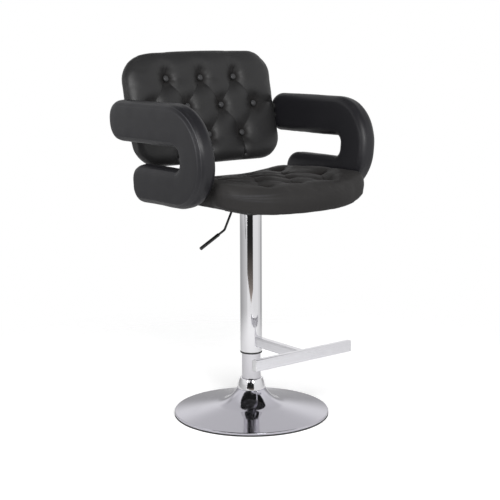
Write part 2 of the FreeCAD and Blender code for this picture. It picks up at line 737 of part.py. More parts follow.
def thrust_bearing():
    """Needle thrust bearing: lower race, caged rollers and upper race."""
    bore = s.rod_neck_radius + s.bolt_gap
    node(ring("bearing_lower_race", bore, s.race_radius, socket_floor_top, rollers_foot),
         "bearing_lower_race")
    node(ring("bearing_upper_race", s.rod_neck_radius + s.close_gap, s.race_radius,
              upper_race_foot, rod_shoulder), "bearing_upper_race")
    middle = rollers_foot + s.roller_radius + s.bearing_play
    inner = s.roller_circle - s.roller_length / 2 - s.cage_margin
    outer = s.roller_circle + s.roller_length / 2 + s.cage_margin
    cage = ring("roller_cage", inner, outer, middle - s.cage_height / 2, middle + s.cage_height / 2)
    rollers = []
    windows = []
    for index in range(roller_count):
        turn = Rotation(Z_AXIS, 360 * index / roller_count) * Rotation(Y_AXIS, 90)
        for label, radius, length, group in (
                ("roller", s.roller_radius, s.roller_length, rollers),
                ("window", s.roller_radius + s.close_gap,
                 s.roller_length + 2 * s.close_gap, windows)):
            blank = primitive("Cylinder", "%s%d" % (label, index), {"Radius": radius, "Height": length})
            start = turn.multVec(Vector(0, 0, float(s.roller_circle - length / 2)))
            blank.Placement = Placement(start + Vector(0, 0, float(middle)), turn)
            reach = s.roller_circle - length / 2
            for axis, way in (("x", start.x), ("y", start.y)):
                share = round(way / float(reach), 9)
                blank.setExpression("Placement.Base." + axis, words(reach * share))
            blank.setExpression("Placement.Base.z", words(middle))
            group.append(blank)
    node(gathered("bearing_rollers", rollers), "bearing_rollers")
    node(difference("bearing_cage", cage, gathered("cage_windows", windows)), "bearing_cage")


def piston():
    """Piston rod with its shoulder, retaining clip, washer, bump stop, piston and seal."""
    neck = s.rod_neck_radius
    groove_top = flange_top - s.rod_washer_height
    groove_foot = groove_top - s.clip_height - s.close_gap
    groove = neck - s.clip_depth
    piston_foot = s.rod_top - s.piston_length
    node(turned("piston_rod", [
        (ZERO, s.rod_foot), (neck, s.rod_foot), (neck, groove_foot), (groove, groove_foot),
        (groove, groove_top), (neck, groove_top), (neck, rod_shoulder),
        (s.rod_radius, rod_shoulder), (s.rod_radius, piston_foot), (ZERO, piston_foot),
    ]), "piston_rod")
    node(ring("rod_washer", neck + s.close_gap, s.rod_washer_radius, groove_top, flange_top),
         "rod_washer")
    clip = ring("rod_clip", groove + s.close_gap, s.clip_radius,
                groove_top - s.clip_height, groove_top)
    mouth = sketch_on(clip, "XY_Plane", "clip_mouth_sketch", groove_top)
    half = s.clip_mouth / 2
    draw(mouth, [(ZERO, -half), (s.clip_radius + s.overrun, -half),
                 (s.clip_radius + s.overrun, half), (ZERO, half)])
    pocket(clip, mouth, s.clip_height + s.overrun)
    node(clip, "rod_clip")
    node(ring("bump_stop", s.rod_radius + s.close_gap, s.bump_radius,
              rod_shoulder, rod_shoulder + s.bump_height), "bump_stop")
    outer = cylinder_bore - s.close_gap
    seal_foot = s.rod_top - (s.piston_length + s.seal_width) / 2
    seal_top = seal_foot + s.seal_width
    groove = outer - s.seal_depth
    node(turned("piston", [
        (ZERO, piston_foot), (outer, piston_foot), (outer, seal_foot), (groove, seal_foot),
        (groove, seal_top), (outer, seal_top), (outer, s.rod_top), (ZERO, s.rod_top),
    ]), "piston")
    node(ring("piston_seal", groove, outer, seal_foot, seal_top), "piston_seal")


def lift():
    """Gas cylinder, its rod guide and the valve pin in its top."""
    valve_bore = s.valve_radius + s.close_gap
    valve_foot = cylinder_top + s.valve_proud - s.valve_length
    seat = valve_foot - s.valve_travel - s.close_gap
    node(turned("gas_cylinder", [
        (ZERO, chamber_top), (cylinder_bore, chamber_top),
        (cylinder_bore, s.cylinder_foot), (s.cylinder_radius, s.cylinder_foot),
        (s.cylinder_radius, taper_foot), (s.taper_top_radius, cylinder_top),
        (valve_bore, cylinder_top), (valve_bore, seat), (ZERO, seat),
    ]), "gas_cylinder")
    node(ring("cylinder_rod_guide", s.rod_radius + s.close_gap, cylinder_bore - s.close_gap,
              s.cylinder_foot, s.cylinder_foot + s.rod_guide_length), "cylinder_rod_guide")
    node(disc("valve_pin", s.valve_radius, valve_foot, cylinder_top + s.valve_proud), "valve_pin")


def sleeve():
    """Chrome sleeve that slides over the lower tube, with its two plastic rings."""
    node(ring("column_sleeve", sleeve_bore, s.sleeve_radius, s.sleeve_foot, pan_foot),
         "column_sleeve")
    bore = s.tube_radius + s.close_gap
    spigot = sleeve_bore - s.close_gap
    outer = s.sleeve_radius + s.end_ring_proud
    top = s.sleeve_foot + s.end_ring_spigot
    node(turned("sleeve_end_ring", [
        (bore, s.sleeve_foot - s.end_ring_height), (outer, s.sleeve_foot - s.end_ring_height),
        (outer, s.sleeve_foot), (spigot, s.sleeve_foot), (spigot, top), (bore, top),
    ]), "sleeve_end_ring")
    cap_foot = pan_foot - s.top_cap_height
    node(ring("sleeve_top_ring", s.hub_radius + s.close_gap, spigot, cap_foot, pan_foot),
         "sleeve_top_ring")


def footrest():
    """T-shaped footrest: stem on the sleeve, crossbar and two end caps."""
    bar_middle = s.footrest_top - s.footrest_height / 2
    bar_front = -s.footrest_reach
    bar_centre = bar_front + s.footrest_depth / 2
    half_height = s.footrest_height / 2
    half_depth = s.footrest_depth / 2
    bar = new_body("footrest_bar")
    sketch = sketch_on(bar, "YZ_Plane", "bar_section")
    draw(sketch, rectangle(half_depth, half_height, s.footrest_edge))
    draw(sketch, rectangle(half_depth - s.footrest_wall, half_height - s.footrest_wall,
                           s.footrest_edge - s.footrest_wall))
    pad(bar, sketch, 2 * (s.footrest_half_length - s.end_cap_wall), middle=True)
    place(bar, y=bar_centre, z=bar_middle)
    node(bar, "footrest_crossbar")

    caps = []
    for label, side in SIDES:
        cap = new_body("footrest_cap_" + label)
        sketch = sketch_on(cap, "YZ_Plane", "cap_%s_face" % label)
        draw(sketch, rectangle(half_depth, half_height, s.footrest_edge))
        pad(cap, sketch, s.end_cap_wall, down=side < 0)
        sketch = sketch_on(cap, "YZ_Plane", "cap_%s_plug" % label)
        draw(sketch, rectangle(half_depth - s.footrest_wall - s.close_gap,
                               half_height - s.footrest_wall - s.close_gap,
                               s.footrest_edge - s.footrest_wall))
        pad(cap, sketch, s.end_cap_plug, down=side > 0)
        place(cap, x=(s.footrest_half_length - s.end_cap_wall) * side, y=bar_centre, z=bar_middle)
        caps.append(cap)
    node(gathered("footrest_end_caps", caps), "footrest_end_caps")

    stem = new_body("footrest_stem_blank")
    sketch = sketch_on(stem, "XZ_Plane", "stem_section")
    draw(sketch, rectangle(s.stem_width / 2, s.stem_height / 2, s.footrest_edge))
    draw(sketch, rectangle(s.stem_width / 2 - s.footrest_wall, s.stem_height / 2 - s.footrest_wall,
                           s.footrest_edge - s.footrest_wall))
    pad(stem, sketch, s.footrest_reach - s.footrest_depth)
    place(stem, z=bar_middle)
    mouth = primitive("Cylinder", "stem_mouth",
                      {"Radius": s.sleeve_radius, "Height": 2 * s.footrest_height},
                      z=s.footrest_top - 2 * s.footrest_height + s.footrest_height / 2)
    node(difference("footrest_stem", stem, mouth), "footrest_stem")


def mount_plate():
    """Pressed plate with a pan, its bolts to the frame and the slot that the lever leaves by."""
    plate = new_body("mount_plate")
    sketch = sketch_on(plate, "XY_Plane", "plate_outline")
    draw(sketch, rectangle(s.plate_half_width, s.plate_half_depth, s.plate_corner))
    pad(plate, sketch, s.plate_wall, down=True)
    sketch = sketch_on(plate, "XY_Plane", "pan_outline")
    draw(sketch, rectangle(s.pan_half_width, s.pan_half_depth, s.pan_corner))
    pad(plate, sketch, s.pan_depth, down=True)
    sketch = sketch_on(plate, "XY_Plane", "pan_hollow")
    draw(sketch, rectangle(s.pan_half_width - s.plate_wall, s.pan_half_depth - s.plate_wall,
                           s.pan_corner - s.plate_wall))
    pocket(plate, sketch, s.pan_depth - s.plate_wall)
    sketch = sketch_on(plate, "XY_Plane", "plate_holes")
    for x in (1, -1):
        for y in (1, -1):
            circle(sketch, s.plate_bolt_side * x, s.plate_bolt_front * y,
                   s.plate_bolt_radius + s.bolt_gap)
    circle(sketch, ZERO, ZERO, s.hub_radius)
    pocket(plate, sketch, s.pan_depth + s.overrun)
    sketch = sketch_on(plate, "YZ_Plane", "lever_slot_outline", -s.pan_half_width - s.overrun)
    middle = lever_height() - frame_foot
    draw(sketch, [(-s.lever_slot, middle - s.lever_slot), (s.lever_slot, middle - s.lever_slot),
                  (s.lever_slot, s.overrun), (-s.lever_slot, s.overrun)])
    pocket(plate, sketch, 2 * s.overrun, up=True)
    place(plate, z=frame_foot)
    node(plate, "mount_plate")

    taper = (s.cylinder_radius - s.taper_top_radius) / (cylinder_top - taper_foot)
    foot = pan_foot - s.hub_depth
    top = pan_foot + s.plate_wall + s.hub_height

    def bore(height):
        return s.cylinder_radius - (height - taper_foot) * taper + s.close_gap

    node(turned("mount_hub", [
        (bore(foot), foot), (s.hub_radius, foot), (s.hub_radius, top), (bore(top), top),
    ]), "mount_hub")


def lever_height():
    """Height of the lever's inner end: just above the valve pin."""
    return cylinder_top + s.valve_proud + s.lever_gap + s.lever_radius


def plate_fasteners():
    """Four bolts with washers under the plate and tee nuts on top of the cross rails."""
    head_foot = frame_foot - s.plate_wall - s.washer_height - s.plate_head_height
    bolts = []
    washers = []
    washer_holes = []
    nuts = []
    nut_holes = []
    nut_top = frame_foot + s.frame_height
    for index, (x, y) in enumerate(((1, 1), (1, -1), (-1, -1), (-1, 1))):
        spot = {"x": s.plate_bolt_side * x, "y": s.plate_bolt_front * y}
        bolts.append(hexagon("plate_bolt_head%d" % index, s.plate_head_radius,
                             s.plate_head_height, z=head_foot, **spot))
        bolts.append(primitive("Cylinder", "plate_bolt_shank%d" % index,
                               {"Radius": s.plate_bolt_radius, "Height": s.plate_bolt_length},
                               z=head_foot + s.plate_head_height, **spot))
        washers.append(primitive("Cylinder", "plate_washer%d" % index,
                                 {"Radius": s.washer_radius, "Height": s.washer_height},
                                 z=head_foot + s.plate_head_height, **spot))
        washer_holes.append(primitive("Cylinder", "plate_washer_hole%d" % index,
                                      {"Radius": s.plate_bolt_radius + s.close_gap,
                                       "Height": s.washer_height},
                                      z=head_foot + s.plate_head_height, **spot))
        nuts.append(primitive("Cylinder", "tee_nut_flange%d" % index,
                              {"Radius": s.tee_flange_radius, "Height": s.tee_flange_height},
                              z=nut_top - s.tee_flange_height, **spot))
        nuts.append(primitive("Cylinder", "tee_nut_barrel%d" % index,
                              {"Radius": s.tee_nut_radius, "Height": s.tee_nut_length},
                              z=nut_top - s.tee_nut_length, **spot))
        nut_holes.append(primitive("Cylinder", "tee_nut_hole%d" % index,
                                   {"Radius": s.plate_bolt_radius + s.close_gap,
                                    "Height": s.tee_nut_length}, z=nut_top - s.tee_nut_length, **spot))
    node(joined("mount_bolts", bolts), "mount_bolts")
    node(difference("mount_washers", gathered("washer_blanks", washers),
                    gathered("washer_bores", washer_holes)), "mount_washers")
    node(difference("mount_tee_nuts", joined("tee_nut_blanks", nuts),
                    gathered("tee_nut_bores", nut_holes)), "mount_tee_nuts")


def lever():
    """Bent release lever with its grip, on a pivot pin in a bracket inside the pan."""
    height = lever_height()
    body = new_body("release_lever_rod")
    path = sketch_on(body, "XZ_Plane", "lever_path")
    points = [(ZERO, ZERO), (-s.lever_nose - s.lever_knee, ZERO),
              (-s.lever_nose - s.lever_elbow, -s.lever_elbow_drop),
              (-s.lever_nose - s.lever_end, -s.lever_end_drop)]
    bent_path(path, points, s.lever_bend)
    section = sketch_on(body, "YZ_Plane", "lever_section")
    circle(section, ZERO, ZERO, s.lever_radius)
    sweep = body.newObject("PartDesign::AdditivePipe", "lever_sweep")
    sweep.Profile = section
    sweep.Spine = (path, ["Edge%d" % (index + 1) for index in range(2 * len(points) - 3)])
    place(body, x=s.lever_nose, z=height)
    hole = primitive("Cylinder", "lever_pivot_hole",
                     {"Radius": s.pivot_radius + s.close_gap, "Height": 2 * s.pivot_half_length},
                     x=-s.lever_pivot, y=s.pivot_half_length, z=height, axis=X_AXIS, angle=RIGHT_ANGLE)
    node(difference("release_lever", body, hole), "release_lever")
    node(primitive("Cylinder", "lever_pivot_pin",
                   {"Radius": s.pivot_radius, "Height": 2 * s.pivot_half_length},
                   x=-s.lever_pivot, y=s.pivot_half_length, z=height,
                   axis=X_AXIS, angle=RIGHT_ANGLE), "lever_pivot_pin")

    run = s.lever_end - s.lever_elbow
    fall = s.lever_end_drop - s.lever_elbow_drop
    length = root(run * run + fall * fall)
    grip = turned("lever_grip_blank", [
        (s.lever_radius + s.close_gap, ZERO), (s.grip_radius, ZERO),
        (s.grip_radius, s.grip_length), (ZERO, s.grip_length),
        (ZERO, s.grip_length - s.grip_cap), (s.lever_radius + s.close_gap, s.grip_length - s.grip_cap),
    ])
    start = s.grip_length - s.grip_cap
    slope = Size(math.degrees(math.atan2(float(run), float(fall))),
                 "atan(%s / %s)" % (words(run), words(fall)))
    place(grip, x=-s.lever_end + run * start / length, z=height - s.lever_end_drop + fall * start / length,
          axis=Y_AXIS, angle=Size(180, "180 deg") + slope)
    node(grip, "lever_grip")

    bracket = new_body("lever_bracket")
    floor = pan_foot + s.plate_wall - height
    outer = s.bracket_gap + s.bracket_wall
    top = s.pivot_radius + s.bracket_margin - s.bracket_wall
    section = sketch_on(bracket, "YZ_Plane", "bracket_section")
    draw(section, [(-outer, floor), (outer, floor), (outer, top), (s.bracket_gap, top),
                   (s.bracket_gap, floor + s.bracket_wall), (-s.bracket_gap, floor + s.bracket_wall),
                   (-s.bracket_gap, top), (-outer, top)])
    pad(bracket, section, 2 * s.bracket_half_length, middle=True)
    bore = sketch_on(bracket, "XZ_Plane", "bracket_bore")
    circle(bore, ZERO, ZERO, s.pivot_radius + s.close_gap)
    pocket(bracket, bore, 2 * outer + s.overrun, middle=True)
    place(bracket, x=-s.lever_pivot, z=height)
    node(bracket, "lever_bracket")


def bent_path(sketch, points, radius):
    """An open path of straight runs joined by tangent arcs of one radius."""
    shapes = []
    start = points[0]
    bends = []
    for before, corner, after in zip(points, points[1:], points[2:]):
        first = Vector(float(before[0] - corner[0]), float(before[1] - corner[1]), 0)
        second = Vector(float(after[0] - corner[0]), float(after[1] - corner[1]), 0)
        first.normalize()
        second.normalize()
        half = first.getAngle(second) / 2
        reach = float(radius) / math.tan(half)
        middle = Vector(float(corner[0]), float(corner[1]), 0)
        inward = first + second
        inward.normalize()
        centre = middle + inward * (float(radius) / math.sin(half))
        bends.append((middle + first * reach, centre, middle + second * reach,
                      first.cross(second).z > 0))
    here = Vector(float(start[0]), float(start[1]), 0)
    for enter, centre, leave, left in bends:
        shapes.append(Part.LineSegment(here, enter))
        angles = [math.atan2(p.y - centre.y, p.x - centre.x) for p in (enter, leave)]
        if left:
            angles.reverse()
        shapes.append(Part.ArcOfCircle(Part.Circle(centre, Z_AXIS, float(radius)), *angles))
        here = leave
    last = Vector(float(points[-1][0]), float(points[-1][1]), 0)
    shapes.append(Part.LineSegment(here, last))
    sketch.addGeometry(shapes, False)
    for index, (enter, centre, leave, left) in enumerate(bends):
        line = 2 * index
        start_end, last_end = (2, 1) if left else (1, 2)
        sketch.addConstraint(Sketcher.Constraint("Tangent", line, 2, line + 1, start_end))
        sketch.addConstraint(Sketcher.Constraint("Tangent", line + 1, last_end, line + 2, 1))
        rule = sketch.addConstraint(Sketcher.Constraint("Radius", line + 1, float(radius)))
        sketch.setExpression("Constraints[%d]" % rule, words(radius))
    sketch.addConstraint(Sketcher.Constraint("Coincident", 0, 1, -1, 1))
    sketch.addConstraint(Sketcher.Constraint("PointOnObject", 0, 2, -1))
    for index, (x, y) in enumerate(points[1:-1], start=1):
        corner = sketch.addGeometry(Part.Point(Vector(float(x), float(y), 0)), True)
        sketch.addConstraint(Sketcher.Constraint("PointOnObject", corner, 1, 2 * index - 2))
        sketch.addConstraint(Sketcher.Constraint("PointOnObject", corner, 1, 2 * index))
        bind_point(sketch, corner, 1, x, y)
    bind_point(sketch, 2 * len(bends), 2, *points[-1])


def bind_point(sketch, shape, end, x, y):
    """Binds a point's place; one that lies on the path's own level is left to the path."""
    rule = sketch.addConstraint(Sketcher.Constraint("DistanceX", -1, 1, shape, end, float(x)))
    sketch.setExpression("Constraints[%d]" % rule, words(x))
    if y is not ZERO:
        rule = sketch.addConstraint(Sketcher.Constraint("DistanceY", -1, 1, shape, end, float(y)))
        sketch.setExpression("Constraints[%d]" % rule, words(y))


# The seat's plan: straight sides, a bowed front about one centre and rounded rear corners.
seat_bow_depth = s.seat_front - s.seat_corner_front
seat_bow_radius = (s.seat_half_width * s.seat_half_width + seat_bow_depth * seat_bow_depth) / (
    2 * seat_bow_depth)
seat_bow_centre = seat_bow_radius - s.seat_front


def bow_front(side, inset):
    """Y of the seat's front at a distance from the middle, for an outline set inwards."""
    radius = seat_bow_radius - inset
    return seat_bow_centre - root(radius * radius - side * side)


def saddle_height(side, rise):
    """Height of the saddle at a distance from the middle, a given height above its underside."""
    radius = s.seat_saddle_radius - rise
    out = side - s.seat_flat_half_width
    return s.seat_bottom + s.seat_saddle_radius - root(radius * radius - out * out)


def seat_plan(inset):
    side = s.seat_half_width - inset
    rear = s.seat_rear - inset
    corner = s.seat_rear_corner
    front = bow_front(side, inset)
    return [(side, front), (side, rear - corner, corner), (side - corner, rear),
            (-side + corner, rear, corner), (-side, rear - corner),
            (-side, front, seat_bow_radius - inset)]


def saddle_slab(name, inset, low, high):
    """A slab of the saddle between two heights above the seat's underside, cut to its plan."""
    side = s.seat_half_width - inset
    flat = s.seat_flat_half_width
    slab = new_body(name + "_slab")
    sketch = sketch_on(slab, "XZ_Plane", name + "_section")
    lower = s.seat_saddle_radius - low
    upper = s.seat_saddle_radius - high
    draw(sketch, [
        (-side, saddle_height(side, low), lower), (-flat, s.seat_bottom + low),
        (flat, s.seat_bottom + low, lower), (side, saddle_height(side, low)),
        (side, saddle_height(side, high), -upper), (flat, s.seat_bottom + high),
        (-flat, s.seat_bottom + high, -upper), (-side, saddle_height(side, high)),
    ])
    pad(slab, sketch, 2 * (s.seat_front + s.overrun), middle=True)
    plan = new_body(name + "_plan")
    sketch = sketch_on(plan, "XY_Plane", name + "_plan_outline")
    draw(sketch, seat_plan(inset))
    pad(plan, sketch, s.seat_bottom + s.seat_saddle_radius)
    return overlap(name + "_form", slab, plan)


def plain_plan(name, outline, low, high):
    """A prism between two heights."""
    body = new_body(name)
    sketch = sketch_on(body, "XY_Plane", name + "_outline", low)
    draw(sketch, outline)
    pad(body, sketch, high - low)
    return body


def seat_frame():
    """Glued hardwood frame with two cross rails, the board on it and the dust cover below."""
    inner = s.frame_cover + s.frame_rail
    rear = s.seat_rear - inner
    half_cross = s.frame_cross_rail / 2
    bays = []
    spans = (
        (-s.plate_bolt_side + half_cross, s.plate_bolt_side - half_cross),
        (s.plate_bolt_side + half_cross, s.seat_half_width - inner),
        (-s.seat_half_width + inner, -s.plate_bolt_side - half_cross),
    )
    for index, (low, high) in enumerate(spans):
        outline = [(low, bow_front(low, inner), seat_bow_radius - inner),
                   (high, bow_front(high, inner)), (high, rear), (low, rear)]
        bays.append(plain_plan("frame_bay%d" % index, outline, s.seat_bottom - s.overrun,
                               s.seat_bottom + 3 * s.frame_height))
    cuts = bays + [plate_bolt_space(), arm_bolt_space("frame", s.bolt_gap)]
    form = saddle_slab("frame", s.frame_cover, s.cover_wall, s.cover_wall + s.frame_height)
    node(difference("seat_frame", form, gathered("frame_cuts", cuts)), "seat_frame")
    top = s.cover_wall + s.frame_height
    node(saddle_slab("board", s.frame_cover, top, top + s.board_height), "seat_board")
    cover = saddle_slab("dust", s.frame_cover + s.soft_gap, ZERO, s.cover_wall)
    opening = plain_plan("dust_opening", rectangle(s.plate_half_width + s.soft_gap,
                                                   s.plate_half_depth + s.soft_gap,
                                                   s.plate_corner),
                         s.seat_bottom - s.overrun, s.seat_bottom + s.overrun)
    node(difference("seat_dust_cover", cover, opening), "seat_dust_cover")


def plate_bolt_space():
    """The room in the frame for the plate's bolts and tee nuts."""
    top = frame_foot + s.frame_height
    blanks = []
    for index, (x, y) in enumerate(((1, 1), (1, -1), (-1, -1), (-1, 1))):
        for label, radius, low, high in (
                ("bolt", s.plate_bolt_radius + s.bolt_gap, frame_foot - s.overrun, top + s.overrun),
                ("barrel", s.tee_nut_radius + s.close_gap, top - s.tee_nut_length, top + s.overrun),
                ("flange", s.tee_flange_radius + s.close_gap, top - s.tee_flange_height,
                 top + s.overrun)):
            blanks.append(primitive("Cylinder", "%s_space%d" % (label, index),
                                    {"Radius": radius, "Height": high - low},
                                    x=s.plate_bolt_side * x, y=s.plate_bolt_front * y, z=low))
    return joined("plate_bolt_space", blanks)


def arm_place(thing, side):
    """Puts an object that is drawn about an arm's middle plane on that arm."""
    return place(thing, x=s.arm_centre * side, z=s.seat_bottom + s.arm_reference_rise,
                 axis=Y_AXIS, angle=s.arm_lean_angle * side)


def across(name, side, radius, start, length, y, z):
    """A cylinder square to an arm, drawn from a place outside towards the seat."""
    return primitive("Cylinder", name, {"Radius": radius, "Height": length},
                     x=start * side, y=y, z=z, axis=Y_AXIS, angle=-RIGHT_ANGLE * side)


def arm_bolt_places():
    """Name, place along Y, place along the arm and length of each of an arm's bolts."""
    rail = s.seat_half_width - s.frame_cover - s.frame_rail / 2
    rail_middle = saddle_height(rail, s.cover_wall) + s.frame_height / 2
    low = rail_middle - s.seat_bottom - s.arm_reference_rise
    return (
        ("seat_front", -s.seat_bolt_front, low, s.seat_bolt_length),
        ("seat_rear", s.seat_bolt_rear, low, s.seat_bolt_length),
        ("back_lower", s.back_bolt_lower_rear, s.back_bolt_lower_rise - s.arm_reference_rise,
         s.back_bolt_length),
        ("back_upper", s.back_bolt_upper_rear, s.back_bolt_upper_rise - s.arm_reference_rise,
         s.back_bolt_length),
    )


def arm_bolt_space(name, gap):
    """The room that the arms' bolts and barrel nuts need in the pieces between the arms."""
    sides = []
    for label, side in SIDES:
        blanks = []
        for bolt, y, z, length in arm_bolt_places():
            tag = "%s_%s_%s" % (name, label, bolt)
            blanks.append(across(tag, side, s.arm_bolt_radius + gap, s.core_thickness / 2,
                                 length + s.overrun, y, z))
            if bolt.startswith("back"):
                blanks.append(barrel_nut(tag + "_nut", side, s.barrel_nut_radius + s.close_gap,
                                         s.barrel_nut_length + s.soft_gap, y, z))
        sides.append(arm_place(joined("%s_%s_space" % (name, label), blanks), side))
    return gathered(name + "_bolt_space", sides)


def barrel_nut(name, side, radius, length, y, z):
    """A short cylinder across a back bolt near its end."""
    reach = s.back_bolt_length - s.core_thickness / 2 - s.barrel_nut_end
    return primitive("Cylinder", name, {"Radius": radius, "Height": length},
                     x=-reach * side, y=y + length / 2, z=z, axis=X_AXIS, angle=RIGHT_ANGLE)


def arm_outline(inset):
    """The arm's C, open to the rear, drawn about its reference height."""
    top = s.arm_top_rise - s.arm_reference_rise
    bottom = s.arm_bottom_rise - s.arm_reference_rise
    slot_top = s.arm_slot_top_rise - s.arm_reference_rise
    slot_bottom = s.arm_slot_bottom_rise - s.arm_reference_rise
    return cornered([
        (-s.arm_front + inset, bottom + inset, s.arm_front_bottom_radius - inset),
        (s.arm_lower_rear - inset, bottom + inset, s.arm_lower_end_radius - inset),
        (s.arm_lower_rear - inset, slot_bottom - inset, s.arm_lower_end_radius - inset),
        (-s.arm_slot_front - inset, slot_bottom - inset, s.arm_slot_radius + inset),
        (-s.arm_slot_front - inset, slot_top + inset, s.arm_slot_radius + inset),
        (s.arm_upper_rear - inset, slot_top + inset, s.arm_upper_end_radius - inset),
        (s.arm_upper_rear - inset, top - inset, s.arm_upper_end_radius - inset),
        (-s.arm_front + inset, top - inset, s.arm_front_top_radius - inset),
    ])


def arm(label, side):
    """One C-shaped arm: a wooden core inside a padded loop."""
    core = new_body(label + "_core_blank")
    sketch = sketch_on(core, "YZ_Plane", label + "_core_outline")
    draw(sketch, arm_outline(s.core_inset))
    pad(core, sketch, s.core_thickness, middle=True)
    arm_place(core, side)

    half = s.arm_thickness / 2
    edge = s.arm_edge_radius
    stations = [(edge, half), (edge * corner_share, half - edge * corner_share), (ZERO, half - edge)]
    stations += [(inset, -depth) for inset, depth in reversed(stations)]
    padding = new_body(label + "_padding")
    outlines = []
    for index, (inset, depth) in enumerate(stations):
        sketch = sketch_on(padding, "YZ_Plane", "%s_arm_outline%d" % (label, index), depth)
        draw(sketch, arm_outline(inset))
        outlines.append(sketch)
    loft = padding.newObject("PartDesign::AdditiveLoft", label + "_arm_form")
    loft.Profile = outlines[0]
    loft.Sections = outlines[1:]
    loft.Ruled = True
    arm_place(padding, side)

    bolts = []
    heads = []
    for bolt, y, z, length in arm_bolt_places():
        tag = label + "_" + bolt
        bolts.append(across(tag + "_hole", side, s.arm_bolt_radius + s.close_gap,
                            s.core_thickness / 2 + s.overrun, length, y, z))
        heads.append(across(tag + "_way", side, s.arm_bolt_radius + s.bolt_gap,
                            s.core_thickness / 2, length, y, z))
        heads.append(across(tag + "_seat", side, s.arm_head_radius + s.bolt_gap,
                            s.core_thickness / 2 + s.arm_head_height,
                            s.arm_head_height + s.overrun, y, z))
    holes = arm_place(gathered(label + "_core_holes", bolts), side)
    node(difference(label + "_arm_core", core, holes), label + "_arm_core")
    room = arm_place(joined(label + "_bolt_room", heads), side)
    hollow = joined(label + "_arm_hollow", [core, room])
    node(difference(label + "_arm_pad", padding, hollow), label + "_arm_pad")


def arm_fasteners():
    """Bolts through both arms, the nuts inside the seat frame and the back's barrel nuts."""
    groups = {"seat": [], "back": []}
    nuts = []
    nut_bores = []
    barrels = []
    barrel_bores = []
    spacers = []
    spacer_bores = []
    rail_inner = s.seat_half_width - s.frame_cover - s.frame_rail
    for label, side in SIDES:
        for bolt, y, z, length in arm_bolt_places():
            tag = "%s_%s" % (label, bolt)
            head = across(tag + "_head", side, s.arm_head_radius,
                          s.core_thickness / 2 + s.arm_head_height, s.arm_head_height, y, z)
            shank = across(tag + "_shank", side, s.arm_bolt_radius, s.core_thickness / 2, length, y, z)
            groups[bolt[:4]].append(arm_place(joined(tag, [head, shank]), side))
            centre = s.arm_centre + z * sine(s.arm_lean_angle)
            bore = s.arm_bolt_radius + s.close_gap
            if bolt.startswith("seat"):
                start = (centre - rail_inner) / cosine(s.arm_lean_angle)
                start = start + s.plate_head_radius * tangent(s.arm_lean_angle) + s.close_gap
                nut = hexagon(tag + "_nut", s.plate_head_radius, s.seat_nut_height,
                              x=-start * side, y=y, z=z, axis=Y_AXIS, angle=-RIGHT_ANGLE * side)
                nuts.append(arm_place(gathered(tag + "_nut_place", [nut]), side))
                hole = across(tag + "_nut_bore", side, bore, -start + s.overrun,
                              s.seat_nut_height + 2 * s.overrun, y, z)
                nut_bores.append(arm_place(gathered(tag + "_nut_bore_place", [hole]), side))
            else:
                nut = barrel_nut(tag + "_barrel", side, s.barrel_nut_radius, s.barrel_nut_length, y, z)
                barrels.append(arm_place(gathered(tag + "_barrel_place", [nut]), side))
                hole = across(tag + "_barrel_bore", side, bore, -s.core_thickness / 2, length, y, z)
                barrel_bores.append(arm_place(gathered(tag + "_barrel_bore_place", [hole]), side))
                gap = (centre - s.back_half_width) / cosine(s.arm_lean_angle) - s.arm_thickness / 2
                gap = gap - s.washer_radius * tangent(s.arm_lean_angle) - s.soft_gap
                spacer = across(tag + "_spacer", side, s.washer_radius, -s.arm_thickness / 2, gap, y, z)
                spacers.append(arm_place(gathered(tag + "_spacer_place", [spacer]), side))
                hole = across(tag + "_spacer_bore", side, bore, -s.arm_thickness / 2 + s.overrun,
                              gap + 2 * s.overrun, y, z)
                spacer_bores.append(arm_place(gathered(tag + "_spacer_bore_place", [hole]), side))
    node(gathered("seat_arm_bolts", groups["seat"]), "seat_arm_bolts")
    node(gathered("back_arm_bolts", groups["back"]), "back_arm_bolts")
    node(difference("seat_arm_nuts", gathered("arm_nut_blanks", nuts),
                    gathered("arm_nut_bores", nut_bores)), "seat_arm_nuts")
    node(difference("back_barrel_nuts", gathered("barrel_blanks", barrels),
                    gathered("barrel_bores", barrel_bores)), "back_barrel_nuts")
    node(difference("back_spacers", gathered("spacer_blanks", spacers),
                    gathered("spacer_bores", spacer_bores)), "back_spacers")


def crease(start, end, outward, half_width, depth):
    """A V-shaped cut along a line on a cushion's face, as a solid to cut with."""
    along = end - start
    side = along.cross(outward)
    side.normalize()
    corners = [start - outward * depth,
               start + outward * depth + side * (2 * half_width),
               start + outward * depth - side * (2 * half_width)]
    face = Part.Face(Part.makePolygon(corners + corners[:1]))
    return face.extrude(along)


def tuft(spot, outward, radius, floor_radius, depth):
    """A many-sided hollow with a flat floor in a cushion's face, as a solid to cut with."""
    around = Rotation(Z_AXIS, outward)
    rings = []
    for size, rise in ((floor_radius, -depth), (2 * radius - floor_radius, depth)):
        corners = []
        for index in range(tuft_sides):
            turn = Rotation(Z_AXIS, 360 * index / tuft_sides)
            corners.append(spot + around.multVec(turn.multVec(X_AXIS * size) + Z_AXIS * rise))
        rings.append(Part.makePolygon(corners + corners[:1]))
    return Part.makeLoft(rings, True, True)


def curve(first, middle, last):
    return Part.Arc(first, middle, last).toShape()


def crown_height(y):
    """Height of the seat cushion's top above its underside along Y, on one arc."""
    front = -float(s.seat_front)
    rear = float(s.seat_rear)
    low = float(s.seat_front_height)
    end = float(s.seat_rear_height)
    high = float(s.seat_middle_height)
    share = (y - front) / (rear - front)
    level = low + (end - low) * share
    return level + 4 * share * (1 - share) * (high - (low + end) / 2)


